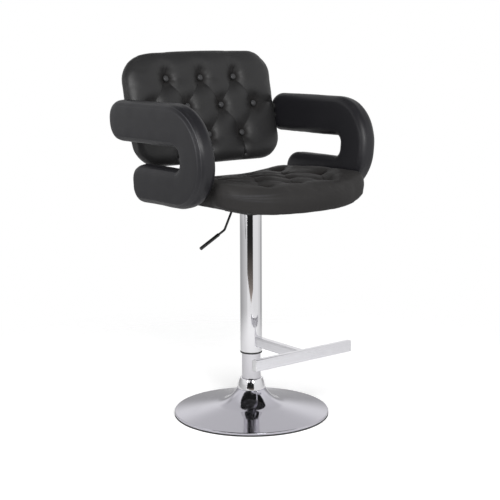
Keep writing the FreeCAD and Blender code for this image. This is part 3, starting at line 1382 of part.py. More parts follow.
def seat_section(share):
    """The seat cushion's front-to-rear section at a share of its half width."""
    side = float(s.seat_half_width) * share
    spread = plain(abs(side))
    past = max(abs(share) - seat_round_share, 0) / (1 - seat_round_share)
    shrink = float(s.seat_end_round) * past * past
    front = float(bow_front(spread, ZERO)) + shrink
    rear = float(s.seat_rear) - shrink
    foot = float(s.seat_bottom)
    if float(spread) > float(s.seat_flat_half_width):
        foot = float(saddle_height(spread, ZERO))
    foot_edge = foot + shrink * seat_foot_share
    edge = float(s.seat_edge)
    draw_in = float(s.seat_draw)
    upper_draw = draw_in * seat_belly_share
    nook = upper_draw + edge * corner_share / 2

    def top(y):
        return foot + crown_height(y) - shrink

    def point(y, z):
        return Vector(side, y, z)

    lower_front = point(front + draw_in, foot_edge)
    upper_front = point(front + upper_draw, top(front) - edge)
    crown_front = point(front + edge, top(front + edge))
    crown_rear = point(rear - edge, top(rear - edge))
    upper_rear = point(rear - upper_draw, top(rear) - edge)
    lower_rear = point(rear - draw_in, foot_edge)
    middle = (front + rear) / 2
    round_front = point(front + nook, top(front) - edge * corner_share)
    round_rear = point(rear - nook, top(rear) - edge * corner_share)
    belly = (foot_edge + top(front) - edge) / 2
    rear_belly = (foot_edge + top(rear) - edge) / 2
    return Part.Wire([
        curve(lower_front, point(front, belly), upper_front),
        curve(upper_front, round_front, crown_front),
        curve(crown_front, point(middle, top(middle)), crown_rear),
        curve(crown_rear, round_rear, upper_rear),
        curve(upper_rear, point(rear, rear_belly), lower_rear),
        Part.makeLine(lower_rear, lower_front),
    ])


def seat_cushion():
    """Saddle cushion: bowed front, drawn-in sides, crown, and a diamond of sewn tufts."""
    shares = [-share for share in reversed(seat_section_shares)] + [0] + list(seat_section_shares)
    form = made("seat_cushion_form", Part.makeLoft([seat_section(share) for share in shares], True, True))
    tools = []
    rows = []
    for row in range(4):
        y = -float(s.tuft_front) + row * float(s.tuft_depth_pitch)
        offsets = even_row_shares if row % 2 == 0 else odd_row_shares
        rows.append([seat_surface(offset * float(s.tuft_side), y) for offset in offsets])
    radius = float(s.tuft_radius)
    for spot in [spot for row in rows for spot in row]:
        tools.append(tuft(spot, Z_AXIS, radius, radius * tuft_floor_share, float(s.tuft_drop)))
    for start, end in diamond(rows, float(s.tuft_side)):
        tools.append(crease(start, end, Z_AXIS, float(s.seam_half_width), float(s.seam_depth)))
    tufts = made("seat_tufts", Part.makeCompound([tools[0].fuse(tools[1:])]))
    hollow = saddle_slab("seat_hollow", s.frame_cover, -s.overrun,
                         s.cover_wall + s.frame_height + s.board_height)
    cuts = gathered("seat_cuts", [hollow, arm_bolt_space("cushion", s.bolt_gap)])
    sunk = difference("seat_cushion_sunk", form, cuts)
    node(difference("seat_cushion", sunk, tufts), "seat_cushion")


def seat_surface(x, y):
    """A point on the top of the seat cushion."""
    foot = float(s.seat_bottom)
    if abs(x) > float(s.seat_flat_half_width):
        foot = float(saddle_height(plain(abs(x)), ZERO))
    return Vector(x, y, foot + crown_height(y))


def diamond(rows, pitch):
    """Pairs of neighbouring tufts in rows that lie half a pitch apart."""
    pairs = []
    for row, following in zip(rows, rows[1:]):
        for first in row:
            for second in following:
                if abs(first.x - second.x) < diamond_share * pitch:
                    pairs.append((first, second))
    return pairs


def back_place(thing):
    """Puts an object that is drawn upright behind its front face on the reclined back."""
    return place(thing, y=s.back_foot_front, z=s.seat_bottom + s.back_foot_rise,
                 axis=X_AXIS, angle=-s.back_recline)


def back_section(inset, depth):
    """The back pad's outline set inwards, at a depth behind its front face."""
    half = float(s.back_half_width)
    height = float(s.back_height)
    shoulder = height - float(s.back_crown)
    corner = float(s.back_corner)
    nook = (corner - inset) * corner_share

    def point(x, z):
        return Vector(x, depth, z)

    side = half - inset
    low = inset
    high = shoulder - inset
    return Part.Wire([
        Part.makeLine(point(-half + corner, low), point(half - corner, low)),
        curve(point(half - corner, low), point(side - nook, low + nook), point(side, corner)),
        Part.makeLine(point(side, corner), point(side, shoulder - corner)),
        curve(point(side, shoulder - corner), point(side - nook, high - nook), point(half - corner, high)),
        curve(point(half - corner, high), point(0, height - inset), point(-half + corner, high)),
        curve(point(-half + corner, high), point(-side + nook, high - nook),
              point(-side, shoulder - corner)),
        Part.makeLine(point(-side, shoulder - corner), point(-side, corner)),
        curve(point(-side, corner), point(-side + nook, low + nook), point(-half + corner, low)),
    ])


def back_outline(inset):
    """A flat-topped outline of the back's inner pieces."""
    half = s.back_half_width - inset
    top = s.back_height - s.back_crown - inset
    corner = s.back_corner - inset
    return cornered([(half, inset, corner), (half, top, corner), (-half, top, corner),
                     (-half, inset, corner)])


def back():
    """Back pad: wooden frame, tufted cushion in front, panel behind and covered buttons."""
    rear = s.back_thickness - s.panel_wall
    board_front = rear - s.back_board_wall
    rail_front = board_front - s.back_rail_depth
    frame = new_body("back_frame_blank")
    sketch = sketch_on(frame, "XZ_Plane", "back_board_outline", -rear)
    draw(sketch, back_outline(s.back_board_inset))
    pad(frame, sketch, s.back_board_wall)
    for label, side in SIDES:
        outer = s.back_half_width - s.back_board_inset
        inner = outer - s.back_rail_width
        low, high = (inner, outer) if side > 0 else (-outer, -inner)
        sketch = sketch_on(frame, "XZ_Plane", "back_rail_" + label, -board_front)
        draw(sketch, [(low, s.back_rail_foot), (high, s.back_rail_foot),
                      (high, s.back_rail_top), (low, s.back_rail_top)])
        pad(frame, sketch, s.back_rail_depth)
    back_place(frame)
    bolts = arm_bolt_space("back", s.bolt_gap)
    node(difference("back_frame", frame, bolts), "back_frame")

    panel = new_body("back_panel")
    sketch = sketch_on(panel, "XZ_Plane", "panel_outline", -s.back_thickness)
    draw(sketch, back_outline(s.panel_inset))
    pad(panel, sketch, s.panel_wall)
    back_place(panel)
    node(panel, "back_rear_panel")

    edge = float(s.back_edge)
    pillow = float(s.back_pillow)
    width = float(s.back_pillow_width)
    inner_edge, outer_edge = [edge * share for share in back_edge_shares]
    stations = [
        (edge + width, 0),
        (edge + width / 2, pillow * pillow_middle_share),
        (inner_edge, pillow),
        (outer_edge, pillow + edge * pillow_middle_share),
        (0, pillow + edge),
        (float(s.back_draw), float(rear)),
    ]
    form = made("back_cushion_form",
                Part.makeLoft([back_section(inset, depth) for inset, depth in stations], True, True))
    back_place(form)

    pitch = float(s.button_side)
    rows = []
    for height, offsets in ((s.button_low, even_row_shares), (s.button_middle, odd_row_shares),
                            (s.button_high, even_row_shares)):
        rows.append([Vector(offset * pitch, 0, float(height)) for offset in offsets])
    outward = -Y_AXIS
    floor = float(s.button_radius + s.soft_gap) / math.cos(math.pi / tuft_sides)
    tools = [tuft(spot, outward, float(s.back_tuft_radius), floor, float(s.back_tuft_depth))
             for row in rows for spot in row]
    width = float(s.seam_half_width)
    depth = float(s.seam_depth)
    lines = diamond(rows, pitch)
    cap_low = edge + float(s.back_pillow_width)
    cap_side = float(s.back_half_width) - cap_low
    cap_high = float(s.back_height - s.back_crown) - cap_low
    lines += [(spot, Vector(spot.x, 0, cap_low)) for spot in rows[0]]
    lines += [(spot, Vector(spot.x, 0, cap_high)) for spot in rows[2]]
    lines += [(spot, Vector(math.copysign(cap_side, spot.x), 0, spot.z))
              for spot in (rows[1][0], rows[1][3])]
    tools += [crease(start, end, outward, width, depth) for start, end in lines]
    tufts = back_place(made("back_tufts", tools[0].fuse(tools[1:])))
    hollow = new_body("back_hollow")
    sketch = sketch_on(hollow, "XZ_Plane", "back_hollow_outline", -rear - s.overrun)
    draw(sketch, back_outline(s.back_board_inset))
    pad(hollow, sketch, s.back_board_wall + s.overrun)
    back_place(hollow)
    sunk = difference("back_cushion_sunk", form, joined("back_cuts", [hollow, frame]))
    drilled = difference("back_cushion_drilled", sunk, bolts)
    node(difference("back_cushion", drilled, tufts), "back_cushion")

    buttons = []
    for index, spot in enumerate(spot for row in rows for spot in row):
        button = turned("back_button%d" % index, [
            (ZERO, ZERO), (s.button_radius, ZERO), (s.button_radius, s.button_rim),
            (s.button_crown_radius, s.button_dome), (ZERO, s.button_dome),
        ])
        button.Placement = Placement(spot + Y_AXIS * float(s.back_tuft_depth), Rotation(X_AXIS, 90))
        buttons.append(button)
    node(back_place(gathered("back_buttons", buttons)), "back_buttons")


base_shell()
base_weight()
column_foot()
lower_column()
thrust_bearing()
piston()
lift()
sleeve()
footrest()
mount_plate()
plate_fasteners()
lever()
seat_frame()
seat_cushion()
for label, side in SIDES:
    arm(label, side)
arm_fasteners()
back()
doc.recompute()

for thing in doc.Objects:
    if "Invalid" in thing.State or "Error" in thing.State:
        raise ValueError("%s failed: %s" % (thing.Name, thing.State))
for thing in nodes:
    if thing.Shape.isNull() or not thing.Shape.isValid() or not thing.Shape.Solids:
        raise ValueError(thing.Label + " has no valid solid")

os.makedirs("parts", exist_ok=True)
for thing in nodes:
    thing.Shape.exportStep("parts/%s.step" % thing.Label)
print(len(nodes), "pieces written")
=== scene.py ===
import math

import bmesh
import bpy
import numpy as np
from mathutils import Matrix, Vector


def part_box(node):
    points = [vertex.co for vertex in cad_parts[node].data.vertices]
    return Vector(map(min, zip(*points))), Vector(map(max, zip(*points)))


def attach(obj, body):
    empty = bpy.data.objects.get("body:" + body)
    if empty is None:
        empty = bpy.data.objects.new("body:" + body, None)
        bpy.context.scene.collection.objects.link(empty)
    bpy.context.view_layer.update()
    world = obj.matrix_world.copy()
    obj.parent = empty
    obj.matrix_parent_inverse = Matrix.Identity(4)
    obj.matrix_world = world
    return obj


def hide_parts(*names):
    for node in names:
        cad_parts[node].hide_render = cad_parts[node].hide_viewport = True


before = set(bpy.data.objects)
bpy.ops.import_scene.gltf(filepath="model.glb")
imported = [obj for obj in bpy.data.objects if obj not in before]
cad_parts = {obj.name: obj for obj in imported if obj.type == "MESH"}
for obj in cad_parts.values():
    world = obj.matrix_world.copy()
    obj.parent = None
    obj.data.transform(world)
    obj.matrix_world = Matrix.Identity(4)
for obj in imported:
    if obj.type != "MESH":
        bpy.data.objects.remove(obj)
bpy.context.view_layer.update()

# Dressed model of an armchair stool: tufted seat and back, C-shaped padded arms and a chrome
# gas-lift column. Metres, +Z up, the sitter faces -Y, and +X is the sitter's left.

# Sizes in metres, as the CAD has them. SEAT_HEIGHTS are the crown's at front, middle and rear,
# and ARM_HEEL is the arms' lower front corner as (y, z, radius).
SEAT_BOTTOM = 0.570
SEAT_HALF_WIDTH = 0.225
SEAT_FRONT = 0.262
SEAT_CORNER_FRONT = 0.184
SEAT_REAR = 0.160
SEAT_FLAT_HALF_WIDTH = 0.095
SEAT_SADDLE_RADIUS = 0.500
SEAT_HEIGHTS = (0.058, 0.069, 0.046)
ARM_CENTRE = 0.261
ARM_REFERENCE = SEAT_BOTTOM + 0.150
ARM_LEAN = math.radians(4.2)
ARM_THICKNESS = 0.052
ARM_HEEL = (-0.054, 0.698, 0.121)
BACK_HALF_WIDTH = 0.232
BACK_HEIGHT = 0.297
BACK_FRONT = 0.147
BACK_FOOT = SEAT_BOTTOM + 0.098
BACK_RECLINE = math.radians(14.4)
BACK_CORNER = 0.066
BACK_BULGE = 0.009
BACK_REAR = 0.041
BUTTON_PITCH = 0.1115
BUTTON_SHIFT = -0.003
BUTTON_ROWS = (0.070, 0.149, 0.225)
TUFT_PITCH = 0.104
TUFT_ROWS = (-0.172, -0.088, -0.004, 0.080)

# The cloth skins: how far inside the finished form they start, and the size of their quads.
SKIN_SLACK = 0.003
SKIN_VOXEL = 0.005


# Curves and outlines.

def rounded(corners, turn_points=14, run_points=18):
    """A closed outline of straight runs joined by arcs.

    Each corner is (x, y, radius). The arc's centre lies on the corner's bisector at
    radius / sin(half angle), and its ends lie radius / tan(half angle) along the two runs.
    Every corner gives turn_points and every run run_points, so that outlines of the same
    corners match point by point.
    """
    spots = np.array([corner[:2] for corner in corners], float)
    radii = np.array([corner[2] for corner in corners], float)[:, None]
    before = unit(np.roll(spots, 1, axis=0) - spots)
    after = unit(np.roll(spots, -1, axis=0) - spots)
    half = np.arccos(np.clip((before * after).sum(1, keepdims=True), -1, 1)) / 2
    bisector = unit(before + after)
    centres = spots + bisector * radii / np.sin(half)
    first = spots + before * radii / np.tan(half) - centres
    last = spots + after * radii / np.tan(half) - centres
    start = np.arctan2(first[:, 1], first[:, 0])
    sweep = np.arctan2(last[:, 1], last[:, 0]) - start
    sweep = (sweep + math.pi) % (2 * math.pi) - math.pi
    angles = start[:, None] + sweep[:, None] * np.linspace(0, 1, turn_points)
    arcs = centres[:, None] + radii[:, None] * np.stack([np.cos(angles), np.sin(angles)], -1)
    leave = arcs[:, -1:]
    enter = np.roll(arcs[:, :1], -1, axis=0)
    shares = np.linspace(0, 1, run_points + 2)[1:-1, None]
    runs = leave + (enter - leave) * shares
    return np.concatenate([arcs, runs], axis=1).reshape(-1, 2)


def full_turn(count):
    """Angles of a whole turn, count of them, the end left out."""
    return np.linspace(0, 2 * math.pi, count, endpoint=False)


def unit(rows):
    """Each row as a vector of length 1."""
    return rows / np.linalg.norm(rows, axis=1, keepdims=True)


def nearest(points, spots):
    """Distance of each point from the nearest of the spots."""
    return np.min(np.linalg.norm(points[:, None] - spots, axis=2), axis=1)


def evenly(outline, count):
    """A closed outline's points again, count of them, evenly spaced along its length."""
    closed = np.vstack([outline, outline[:1]])
    way = np.concatenate([[0], np.cumsum(np.linalg.norm(np.diff(closed, axis=0), axis=1))])
    spots = np.linspace(0, way[-1], count, endpoint=False)
    return np.stack([np.interp(spots, way, closed[:, axis]) for axis in range(2)], -1)


def inward(outline):
    """Unit normals of a left-turning closed outline, pointing inwards."""
    along = unit(np.roll(outline, -1, axis=0) - np.roll(outline, 1, axis=0))
    return np.stack([-along[:, 1], along[:, 0]], -1)


def ease(low, high, value):
    """Smooth step from 0 at low to 1 at high: 3t2 - 2t3 of the clipped share t."""
    share = np.clip((value - low) / (high - low), 0, 1)
    return share * share * (3 - 2 * share)


def waves(points, length, seed):
    """Smooth random relief from -1 to 1: a sum of sines in fixed random directions."""
    source = np.random.default_rng(seed)
    total = np.zeros(len(points))
    for _ in range(7):
        way = source.normal(size=3)
        way *= 2 * math.pi / length / np.linalg.norm(way) * source.uniform(0.6, 1.5)
        total += np.sin(points @ way + source.uniform(0, 2 * math.pi))
    return total / 4


# Meshes.

def grid_faces(rows, columns, wrap_rows=False, wrap_columns=True):
    """Quads (i, j), (i + 1, j), (i + 1, j + 1), (i, j + 1) of a grid, closed either way."""
    i = np.arange(rows if wrap_rows else rows - 1)[:, None]
    j = np.arange(columns if wrap_columns else columns - 1)[None, :]
    right = (i + 1) % rows
    up = (j + 1) % columns
    corners = [i * columns + j, right * columns + j, right * columns + up, i * columns + up]
    return np.stack(np.broadcast_arrays(*corners), -1).reshape(-1, 4)


def end_rings(rings, count):
    """The first and the last ring of a grid, as caps."""
    return [range(count), range((len(rings) - 1) * count, len(rings) * count)]


def mesh_from(points, faces, caps=()):
    """A mesh of grid points and quads, with whole rings as caps, welded and facing outwards."""
    mesh = bpy.data.meshes.new("form")
    every_face = np.asarray(faces).tolist() + [list(cap) for cap in caps]
    mesh.from_pydata(np.asarray(points).reshape(-1, 3).tolist(), [], every_face)
    work = bmesh.new()
    work.from_mesh(mesh)
    bmesh.ops.remove_doubles(work, verts=work.verts, dist=1e-6)
    bmesh.ops.dissolve_degenerate(work, edges=work.edges, dist=1e-7)
    bmesh.ops.recalc_face_normals(work, faces=work.faces)
    work.to_mesh(mesh)
    work.free()
    return mesh


def new_object(name, mesh):
    """An object of a mesh, both by one name, in the scene."""
    mesh.name = name
    thing = bpy.data.objects.new(name, mesh)
    bpy.context.scene.collection.objects.link(thing)
    return thing


def smooth(mesh, crease=35):
    """Smooth shading, with edges sharper than crease degrees kept."""
    mesh.polygons.foreach_set("use_smooth", np.ones(len(mesh.polygons), bool))
    mesh.set_sharp_from_angle(angle=math.radians(crease))
    mesh.update()


def finished(thing, body, nodes, material, crease=35):
    """Gives a piece its material and body, and hides the CAD nodes that it stands for."""
    smooth(thing.data, crease)
    thing.data.materials.clear()
    thing.data.materials.append(material)
    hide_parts(*nodes)
    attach(thing, body)
    return thing


def turned(profile, segments):
    """Points and quads of a closed profile of (radius, height) carried round the Z axis."""
    profile = np.asarray(profile)
    angles = full_turn(segments)[:, None]
    points = np.stack([profile[:, 0] * np.cos(angles), profile[:, 0] * np.sin(angles),
                       np.broadcast_to(profile[:, 1], (segments, len(profile)))], -1)
    return points, grid_faces(segments, len(profile), wrap_rows=True)


def triples(source, field, count):
    """A field of count triples, read from a mesh collection as an array."""
    flat = np.empty(count * 3)
    source.foreach_get(field, flat)
    return flat.reshape(-1, 3)


def vertex_array(mesh):
    return triples(mesh.vertices, "co", len(mesh.vertices))


def normal_array(mesh):
    return triples(mesh.vertex_normals, "vector", len(mesh.vertices))


def set_vertices(mesh, points):
    mesh.vertices.foreach_set("co", np.ascontiguousarray(points).ravel())
    mesh.update()


def applied(thing):
    """Puts the modifiers' result into the object's mesh and removes them."""
    graph = bpy.context.evaluated_depsgraph_get()
    made = bpy.data.meshes.new_from_object(thing.evaluated_get(graph), depsgraph=graph)
    thing.modifiers.clear()
    thing.data = made


def remeshed(thing, voxel):
    """An even skin of small quads over a closed form."""
    step = thing.modifiers.new("skin", "REMESH")
    step.mode = "VOXEL"
    step.voxel_size = voxel
    applied(thing)


CLOTH_RULES = {"quality": 4, "mass": 0.3, "tension_stiffness": 25, "compression_stiffness": 25,
               "shear_stiffness": 8, "bending_stiffness": 2, "use_pressure": True,
               "uniform_pressure_force": 4.0, "pin_stiffness": 1}
CLOTH_FRAMES = 20
PIN_LEVELS = 10


def swollen(thing, hold, cap):
    """Fills a closed cloth skin with pressure and keeps the shape that it takes.

    hold gives each vertex a pin weight from 0, free, to 1, fixed. No gravity acts, and no point
    moves further than cap.
    """
    before = vertex_array(thing.data)
    group = thing.vertex_groups.new(name="hold")
    levels = np.round(hold * PIN_LEVELS).astype(int)
    for level in range(1, PIN_LEVELS + 1):
        chosen = np.nonzero(levels == level)[0].tolist()
        if chosen:
            group.add(chosen, level / PIN_LEVELS, "REPLACE")
    cloth = thing.modifiers.new("cloth", "CLOTH")
    for key, value in CLOTH_RULES.items():
        setattr(cloth.settings, key, value)
    cloth.settings.vertex_group_mass = "hold"
    cloth.settings.effector_weights.gravity = 0
    cloth.collision_settings.use_collision = False
    scene = bpy.context.scene
    cloth.point_cache.frame_start = 1
    cloth.point_cache.frame_end = CLOTH_FRAMES
    for number in range(1, CLOTH_FRAMES + 1):
        scene.frame_set(number)
    graph = bpy.context.evaluated_depsgraph_get()
    after = vertex_array(thing.evaluated_get(graph).data)
    thing.modifiers.clear()
    thing.vertex_groups.clear()
    scene.frame_set(1)
    move = after - before
    length = np.linalg.norm(move, axis=1, keepdims=True)
    move *= np.minimum(1, cap / np.maximum(length, 1e-9))
    set_vertices(thing.data, before + move)


def evened(thing, rounds=5):
    """Evens out small waves of the skin: each point moves half the way to its neighbours' mean."""
    step = thing.modifiers.new("evened", "SMOOTH")
    step.factor = 0.5
    step.iterations = rounds
    applied(thing)


def fitted(points, low, high):
    """Points stretched along each axis so that they fill the box from low to high."""
    first, last = points.min(0), points.max(0)
    return np.array(low) + (points - first) * (np.array(high) - np.array(low)) / (last - first)


def finer(thing):
    """One level of subdivision, applied."""
    step = thing.modifiers.new("finer", "SUBSURF")
    step.levels = 1
    step.render_levels = 1
    applied(thing)


def mark(mesh, name, values):
    """Keeps one number per vertex on the mesh for the material."""
    kept = mesh.attributes.new(name, "FLOAT", "POINT")
    kept.data.foreach_set("value", np.ascontiguousarray(values, dtype=np.float32))


# Tufting: hollows, folds and puckers on a cushion's face, in the face's own plane.

def to_segment(points, start, end):
    """Distance of plane points from a segment, and their share along it."""
    run = end - start
    share = np.clip((points - start) @ run / (run @ run), 0, 1)
    return np.linalg.norm(points - start - share[:, None] * run, axis=1), share


def diamond(rows, pitch):
    """Pairs of neighbouring tufts in rows that lie half a pitch apart."""
    pairs = []
    for row, following in zip(rows, rows[1:]):
        for first in row:
            near = [second for second in following if abs(first[0] - second[0]) < 0.6 * pitch]
            pairs += [(first, second) for second in near]
    return pairs


def tuft_rows(heights, pitch, shift=0.0):
    """Rows of tufts at the given heights, three and four by turns, half a pitch apart."""
    rows = []
    for index, height in enumerate(heights):
        shares = (-1, 0, 1) if index % 2 == 0 else (-1.5, -0.5, 0.5, 1.5)
        rows.append([(share * pitch + shift, height) for share in shares])
    return rows


def tuft_relief(points, spots, folds, hollow, floor, reach, fold, width, limit, seed):
    """Depth of a tufted face at plane points, a fold mask for the material's bump and painted
    shade, and a mask of painted shade round each tuft.

    Each tuft sinks the face by hollow times exp(-((r - floor) / reach)^1.4), with a few radial
    puckers that fade with distance. A fold is (start, end, strength, share by which its end
    fades out). It sinks the face by fold times exp(-|d| / width), most at its ends, with a soft
    valley round it, and wanders a little from its straight line. The whole depth levels out at
    its limit, as limit times tanh(depth / limit).
    """
    source = np.random.default_rng(seed)
    depth = np.zeros(len(points))
    sunk = np.zeros(len(points))
    line = np.ones(len(points))
    shade = np.zeros(len(points))
    for spot in spots:
        offset = points - spot
        away = np.linalg.norm(offset, axis=1)
        angle = np.arctan2(offset[:, 1], offset[:, 0])
        outside = np.maximum(away - floor, 0) / reach
        depth += hollow * np.exp(-outside ** 1.4)
        # The shade mask places painted shade round each tuft.
        shade = np.maximum(shade, np.exp(-outside ** 1.6))
        turn = source.uniform(0, 2 * math.pi)
        pucker = np.cos(5 * angle + turn) * 0.6 + np.cos(9 * angle + 2 * turn) * 0.4
        depth += 0.0007 * pucker * np.exp(-((away - floor - 0.010) / 0.009) ** 2)
    for start, end, strength, fade_end in folds:
        start, end = np.array(start), np.array(end)
        across = np.array([-(end - start)[1], (end - start)[0]])
        across /= np.linalg.norm(across)
        _, share = to_segment(points, start, end)
        bend = source.uniform(-1, 1) * 0.0022 * np.sin(math.pi * share)
        away, share = to_segment(points - across * bend[:, None], start, end)
        near_start = np.exp(-share / 0.22)
        near_end = np.exp(-(1 - share) / 0.22) * (1 - fade_end)
        level = strength * (0.42 + 0.58 * np.maximum(near_start, near_end))
        level *= 1 - fade_end * ease(0.55, 1.0, share)
        spread = width * (1 + 0.8 * np.sin(math.pi * share))
        crease = fold * level * np.exp(-away / spread)
        valley = 0.0022 * strength * np.exp(-(away / 0.015) ** 2)
        sunk = np.maximum(sunk, crease + valley)
        line = np.minimum(line, away / 0.0035 + (1 - np.minimum(level, 1)) * 0.6)
    return limit * np.tanh((depth + sunk) / limit), np.clip(line, 0, 1), shade


# Shader groups and materials.

def add(tree, kind, values=(), **settings):
    """A shader node with its settings and the plain values of some inputs."""
    made = tree.nodes.new(kind)
    for key, value in settings.items():
        setattr(made, key, value)
    for key, value in dict(values).items():
        made.inputs[key].default_value = value
    return made


def join(tree, *pairs):
    """Links (node, output) to (node, input) for each pair."""
    for source, output, target, entry in pairs:
        tree.links.new(source.outputs[output], target.inputs[entry])


def group(name, inputs, outputs):
    """An empty shader group with number inputs and named outputs."""
    tree = bpy.data.node_groups.new(name, "ShaderNodeTree")
    for label, value in inputs:
        socket = tree.interface.new_socket(label, in_out="INPUT", socket_type="NodeSocketFloat")
        socket.default_value = value
    for label in outputs:
        tree.interface.new_socket(label, in_out="OUTPUT", socket_type="NodeSocketFloat")
    return tree, tree.nodes.new("NodeGroupInput"), tree.nodes.new("NodeGroupOutput")


def math_node(tree, operation, first, second):
    """The result of a sum on two sockets or plain numbers."""
    made = add(tree, "ShaderNodeMath", operation=operation)
    for entry, source in enumerate((first, second)):
        if isinstance(source, (int, float)):
            made.inputs[entry].default_value = source
        else:
            tree.links.new(source, made.inputs[entry])
    return made.outputs[0]


def hide_group():
    """Grained upholstery skin: pebbled grain, stretch wrinkles and broad mottling."""
    tree, enter, leave = group(
        "pebbled_skin", [("Grain size", 900.0), ("Grain", 1.0), ("Wrinkle", 1.0)],
        ["Height", "Mottle", "Sheen"])
    place = add(tree, "ShaderNodeTexCoord")
    warp = add(tree, "ShaderNodeTexNoise", {"Scale": 240.0, "Detail": 2.0})
    pebble = add(tree, "ShaderNodeTexVoronoi", {"Randomness": 0.9}, feature="SMOOTH_F1")
    blend = add(tree, "ShaderNodeVectorMath", {1: (0.0012, 0.0012, 0.0012)},
                operation="MULTIPLY_ADD")
    fold = add(tree, "ShaderNodeTexNoise",
               {"Scale": 55.0, "Detail": 4.0, "Roughness": 0.6, "Distortion": 0.6})
    broad = add(tree, "ShaderNodeTexNoise", {"Scale": 9.0, "Detail": 3.0, "Roughness": 0.55})
    join(tree, (place, "Object", warp, "Vector"), (warp, "Color", blend, 0),
         (place, "Object", blend, 2), (blend, 0, pebble, "Vector"),
         (enter, "Grain size", pebble, "Scale"),
         (place, "Object", fold, "Vector"), (place, "Object", broad, "Vector"))
    grain = math_node(tree, "MULTIPLY", pebble.outputs["Distance"], enter.outputs["Grain"])
    wrinkle = math_node(tree, "MULTIPLY", fold.outputs["Fac"], enter.outputs["Wrinkle"])
    height = math_node(tree, "ADD", grain, wrinkle)
    tree.links.new(height, leave.inputs["Height"])
    tree.links.new(broad.outputs["Fac"], leave.inputs["Mottle"])
    sheen = math_node(tree, "MULTIPLY", fold.outputs["Fac"], broad.outputs["Fac"])
    tree.links.new(sheen, leave.inputs["Sheen"])
    return tree


def polish_group():
    """Handled polished metal: faint smudges over a very slight swell of the surface."""
    tree, enter, leave = group("handled_polish", [("Smudge", 0.05), ("Base", 0.04)],
                               ["Roughness", "Height"])
    place = add(tree, "ShaderNodeTexCoord")
    smudge = add(tree, "ShaderNodeTexNoise", {"Scale": 22.0, "Detail": 5.0, "Roughness": 0.6})
    spread = add(tree, "ShaderNodeMapRange", {"From Min": 0.42, "From Max": 0.72})
    swell = add(tree, "ShaderNodeTexNoise", {"Scale": 14.0, "Detail": 1.0})
    join(tree, (place, "Object", smudge, "Vector"), (smudge, "Fac", spread, "Value"),
         (place, "Object", swell, "Vector"))
    level = math_node(tree, "MULTIPLY", spread.outputs["Result"], enter.outputs["Smudge"])
    tree.links.new(math_node(tree, "ADD", level, enter.outputs["Base"]), leave.inputs["Roughness"])
    tree.links.new(swell.outputs["Fac"], leave.inputs["Height"])
    return tree


def dust_group():
    """Fine wear: a mottle of small specks over broad patches."""
    tree, enter, leave = group("fine_wear", [("Size", 40.0), ("Low", 0.5), ("High", 0.7)],
                               ["Mask", "Height"])
    place = add(tree, "ShaderNodeTexCoord")
    speck = add(tree, "ShaderNodeTexNoise", {"Detail": 6.0, "Roughness": 0.65})
    spread = add(tree, "ShaderNodeMapRange")
    join(tree, (place, "Object", speck, "Vector"), (enter, "Size", speck, "Scale"),
         (speck, "Fac", spread, "Value"), (enter, "Low", spread, "From Min"),
         (enter, "High", spread, "From Max"), (spread, "Result", leave, "Mask"),
         (speck, "Fac", leave, "Height"))
    return tree


HIDE = hide_group()
POLISH = polish_group()
WEAR = dust_group()
# Painted shade: the fold tone darkens the leatherette along its fold lines, standing in for the
# shade in the creases.
FOLD_SHADE_TONE = (0.22, 0.21, 0.21)
# Painted shade: the hollow tone darkens the leatherette round each tuft and button, with a warm
# cast, standing in for the shade in the hollows.
HOLLOW_SHADE_TONE = (0.34, 0.29, 0.27)
# Painted highlight: the ridge tone lightens raised seam rows and pleats where the lamps would catch
# them.
RIDGE_HIGHLIGHT_TONE = (0.055, 0.055, 0.060)


def material(name, color, roughness, **sockets):
    """A material with its Principled shader and plain values on the shader's own sockets."""
    made = bpy.data.materials.new(name)
    made.use_nodes = True
    tree = made.node_tree
    shader = tree.nodes["Principled BSDF"]
    shader.inputs["Base Color"].default_value = (*color, 1.0)
    shader.inputs["Roughness"].default_value = roughness
    for key, value in sockets.items():
        shader.inputs[key.replace("_", " ")].default_value = value
    return made, tree, shader


def tint(tree, mask, low, high):
    """Colour between two tones by a mask."""
    mix = add(tree, "ShaderNodeMix", data_type="RGBA")
    mix.inputs[6].default_value = (*low, 1.0)
    mix.inputs[7].default_value = (*high, 1.0)
    tree.links.new(mask, mix.inputs[0])
    return mix.outputs[2]


def between(tree, mask, low, high):
    """A number between two levels by a mask."""
    spread = add(tree, "ShaderNodeMapRange", {"To Min": low, "To Max": high})
    tree.links.new(mask, spread.inputs["Value"])
    return spread.outputs["Result"]


def vertex_mask(tree, name):
    """The numbers kept on the mesh under a name."""
    kept = add(tree, "ShaderNodeAttribute", attribute_name=name, attribute_type="GEOMETRY")
    return kept.outputs["Fac"]


def dimmed(tree, tone, mask, low, high):
    """A tone multiplied by a colour between two by a mask."""
    mix = add(tree, "ShaderNodeMix", data_type="RGBA", blend_type="MULTIPLY")
    mix.inputs[0].default_value = 1.0
    tree.links.new(tone, mix.inputs[6])
    tree.links.new(tint(tree, mask, low, high), mix.inputs[7])
    return mix.outputs[2]


def skin_node(tree, shared, **values):
    """A shared group in a material's tree, with plain values."""
    skin = add(tree, "ShaderNodeGroup", node_tree=shared)
    for key, value in values.items():
        skin.inputs[key].default_value = value
    return skin.outputs


def bump(tree, height, shader, depth):
    made = add(tree, "ShaderNodeBump", {"Strength": 1.0, "Distance": depth})
    tree.links.new(height, made.inputs["Height"])
    tree.links.new(made.outputs["Normal"], shader.inputs["Normal"])


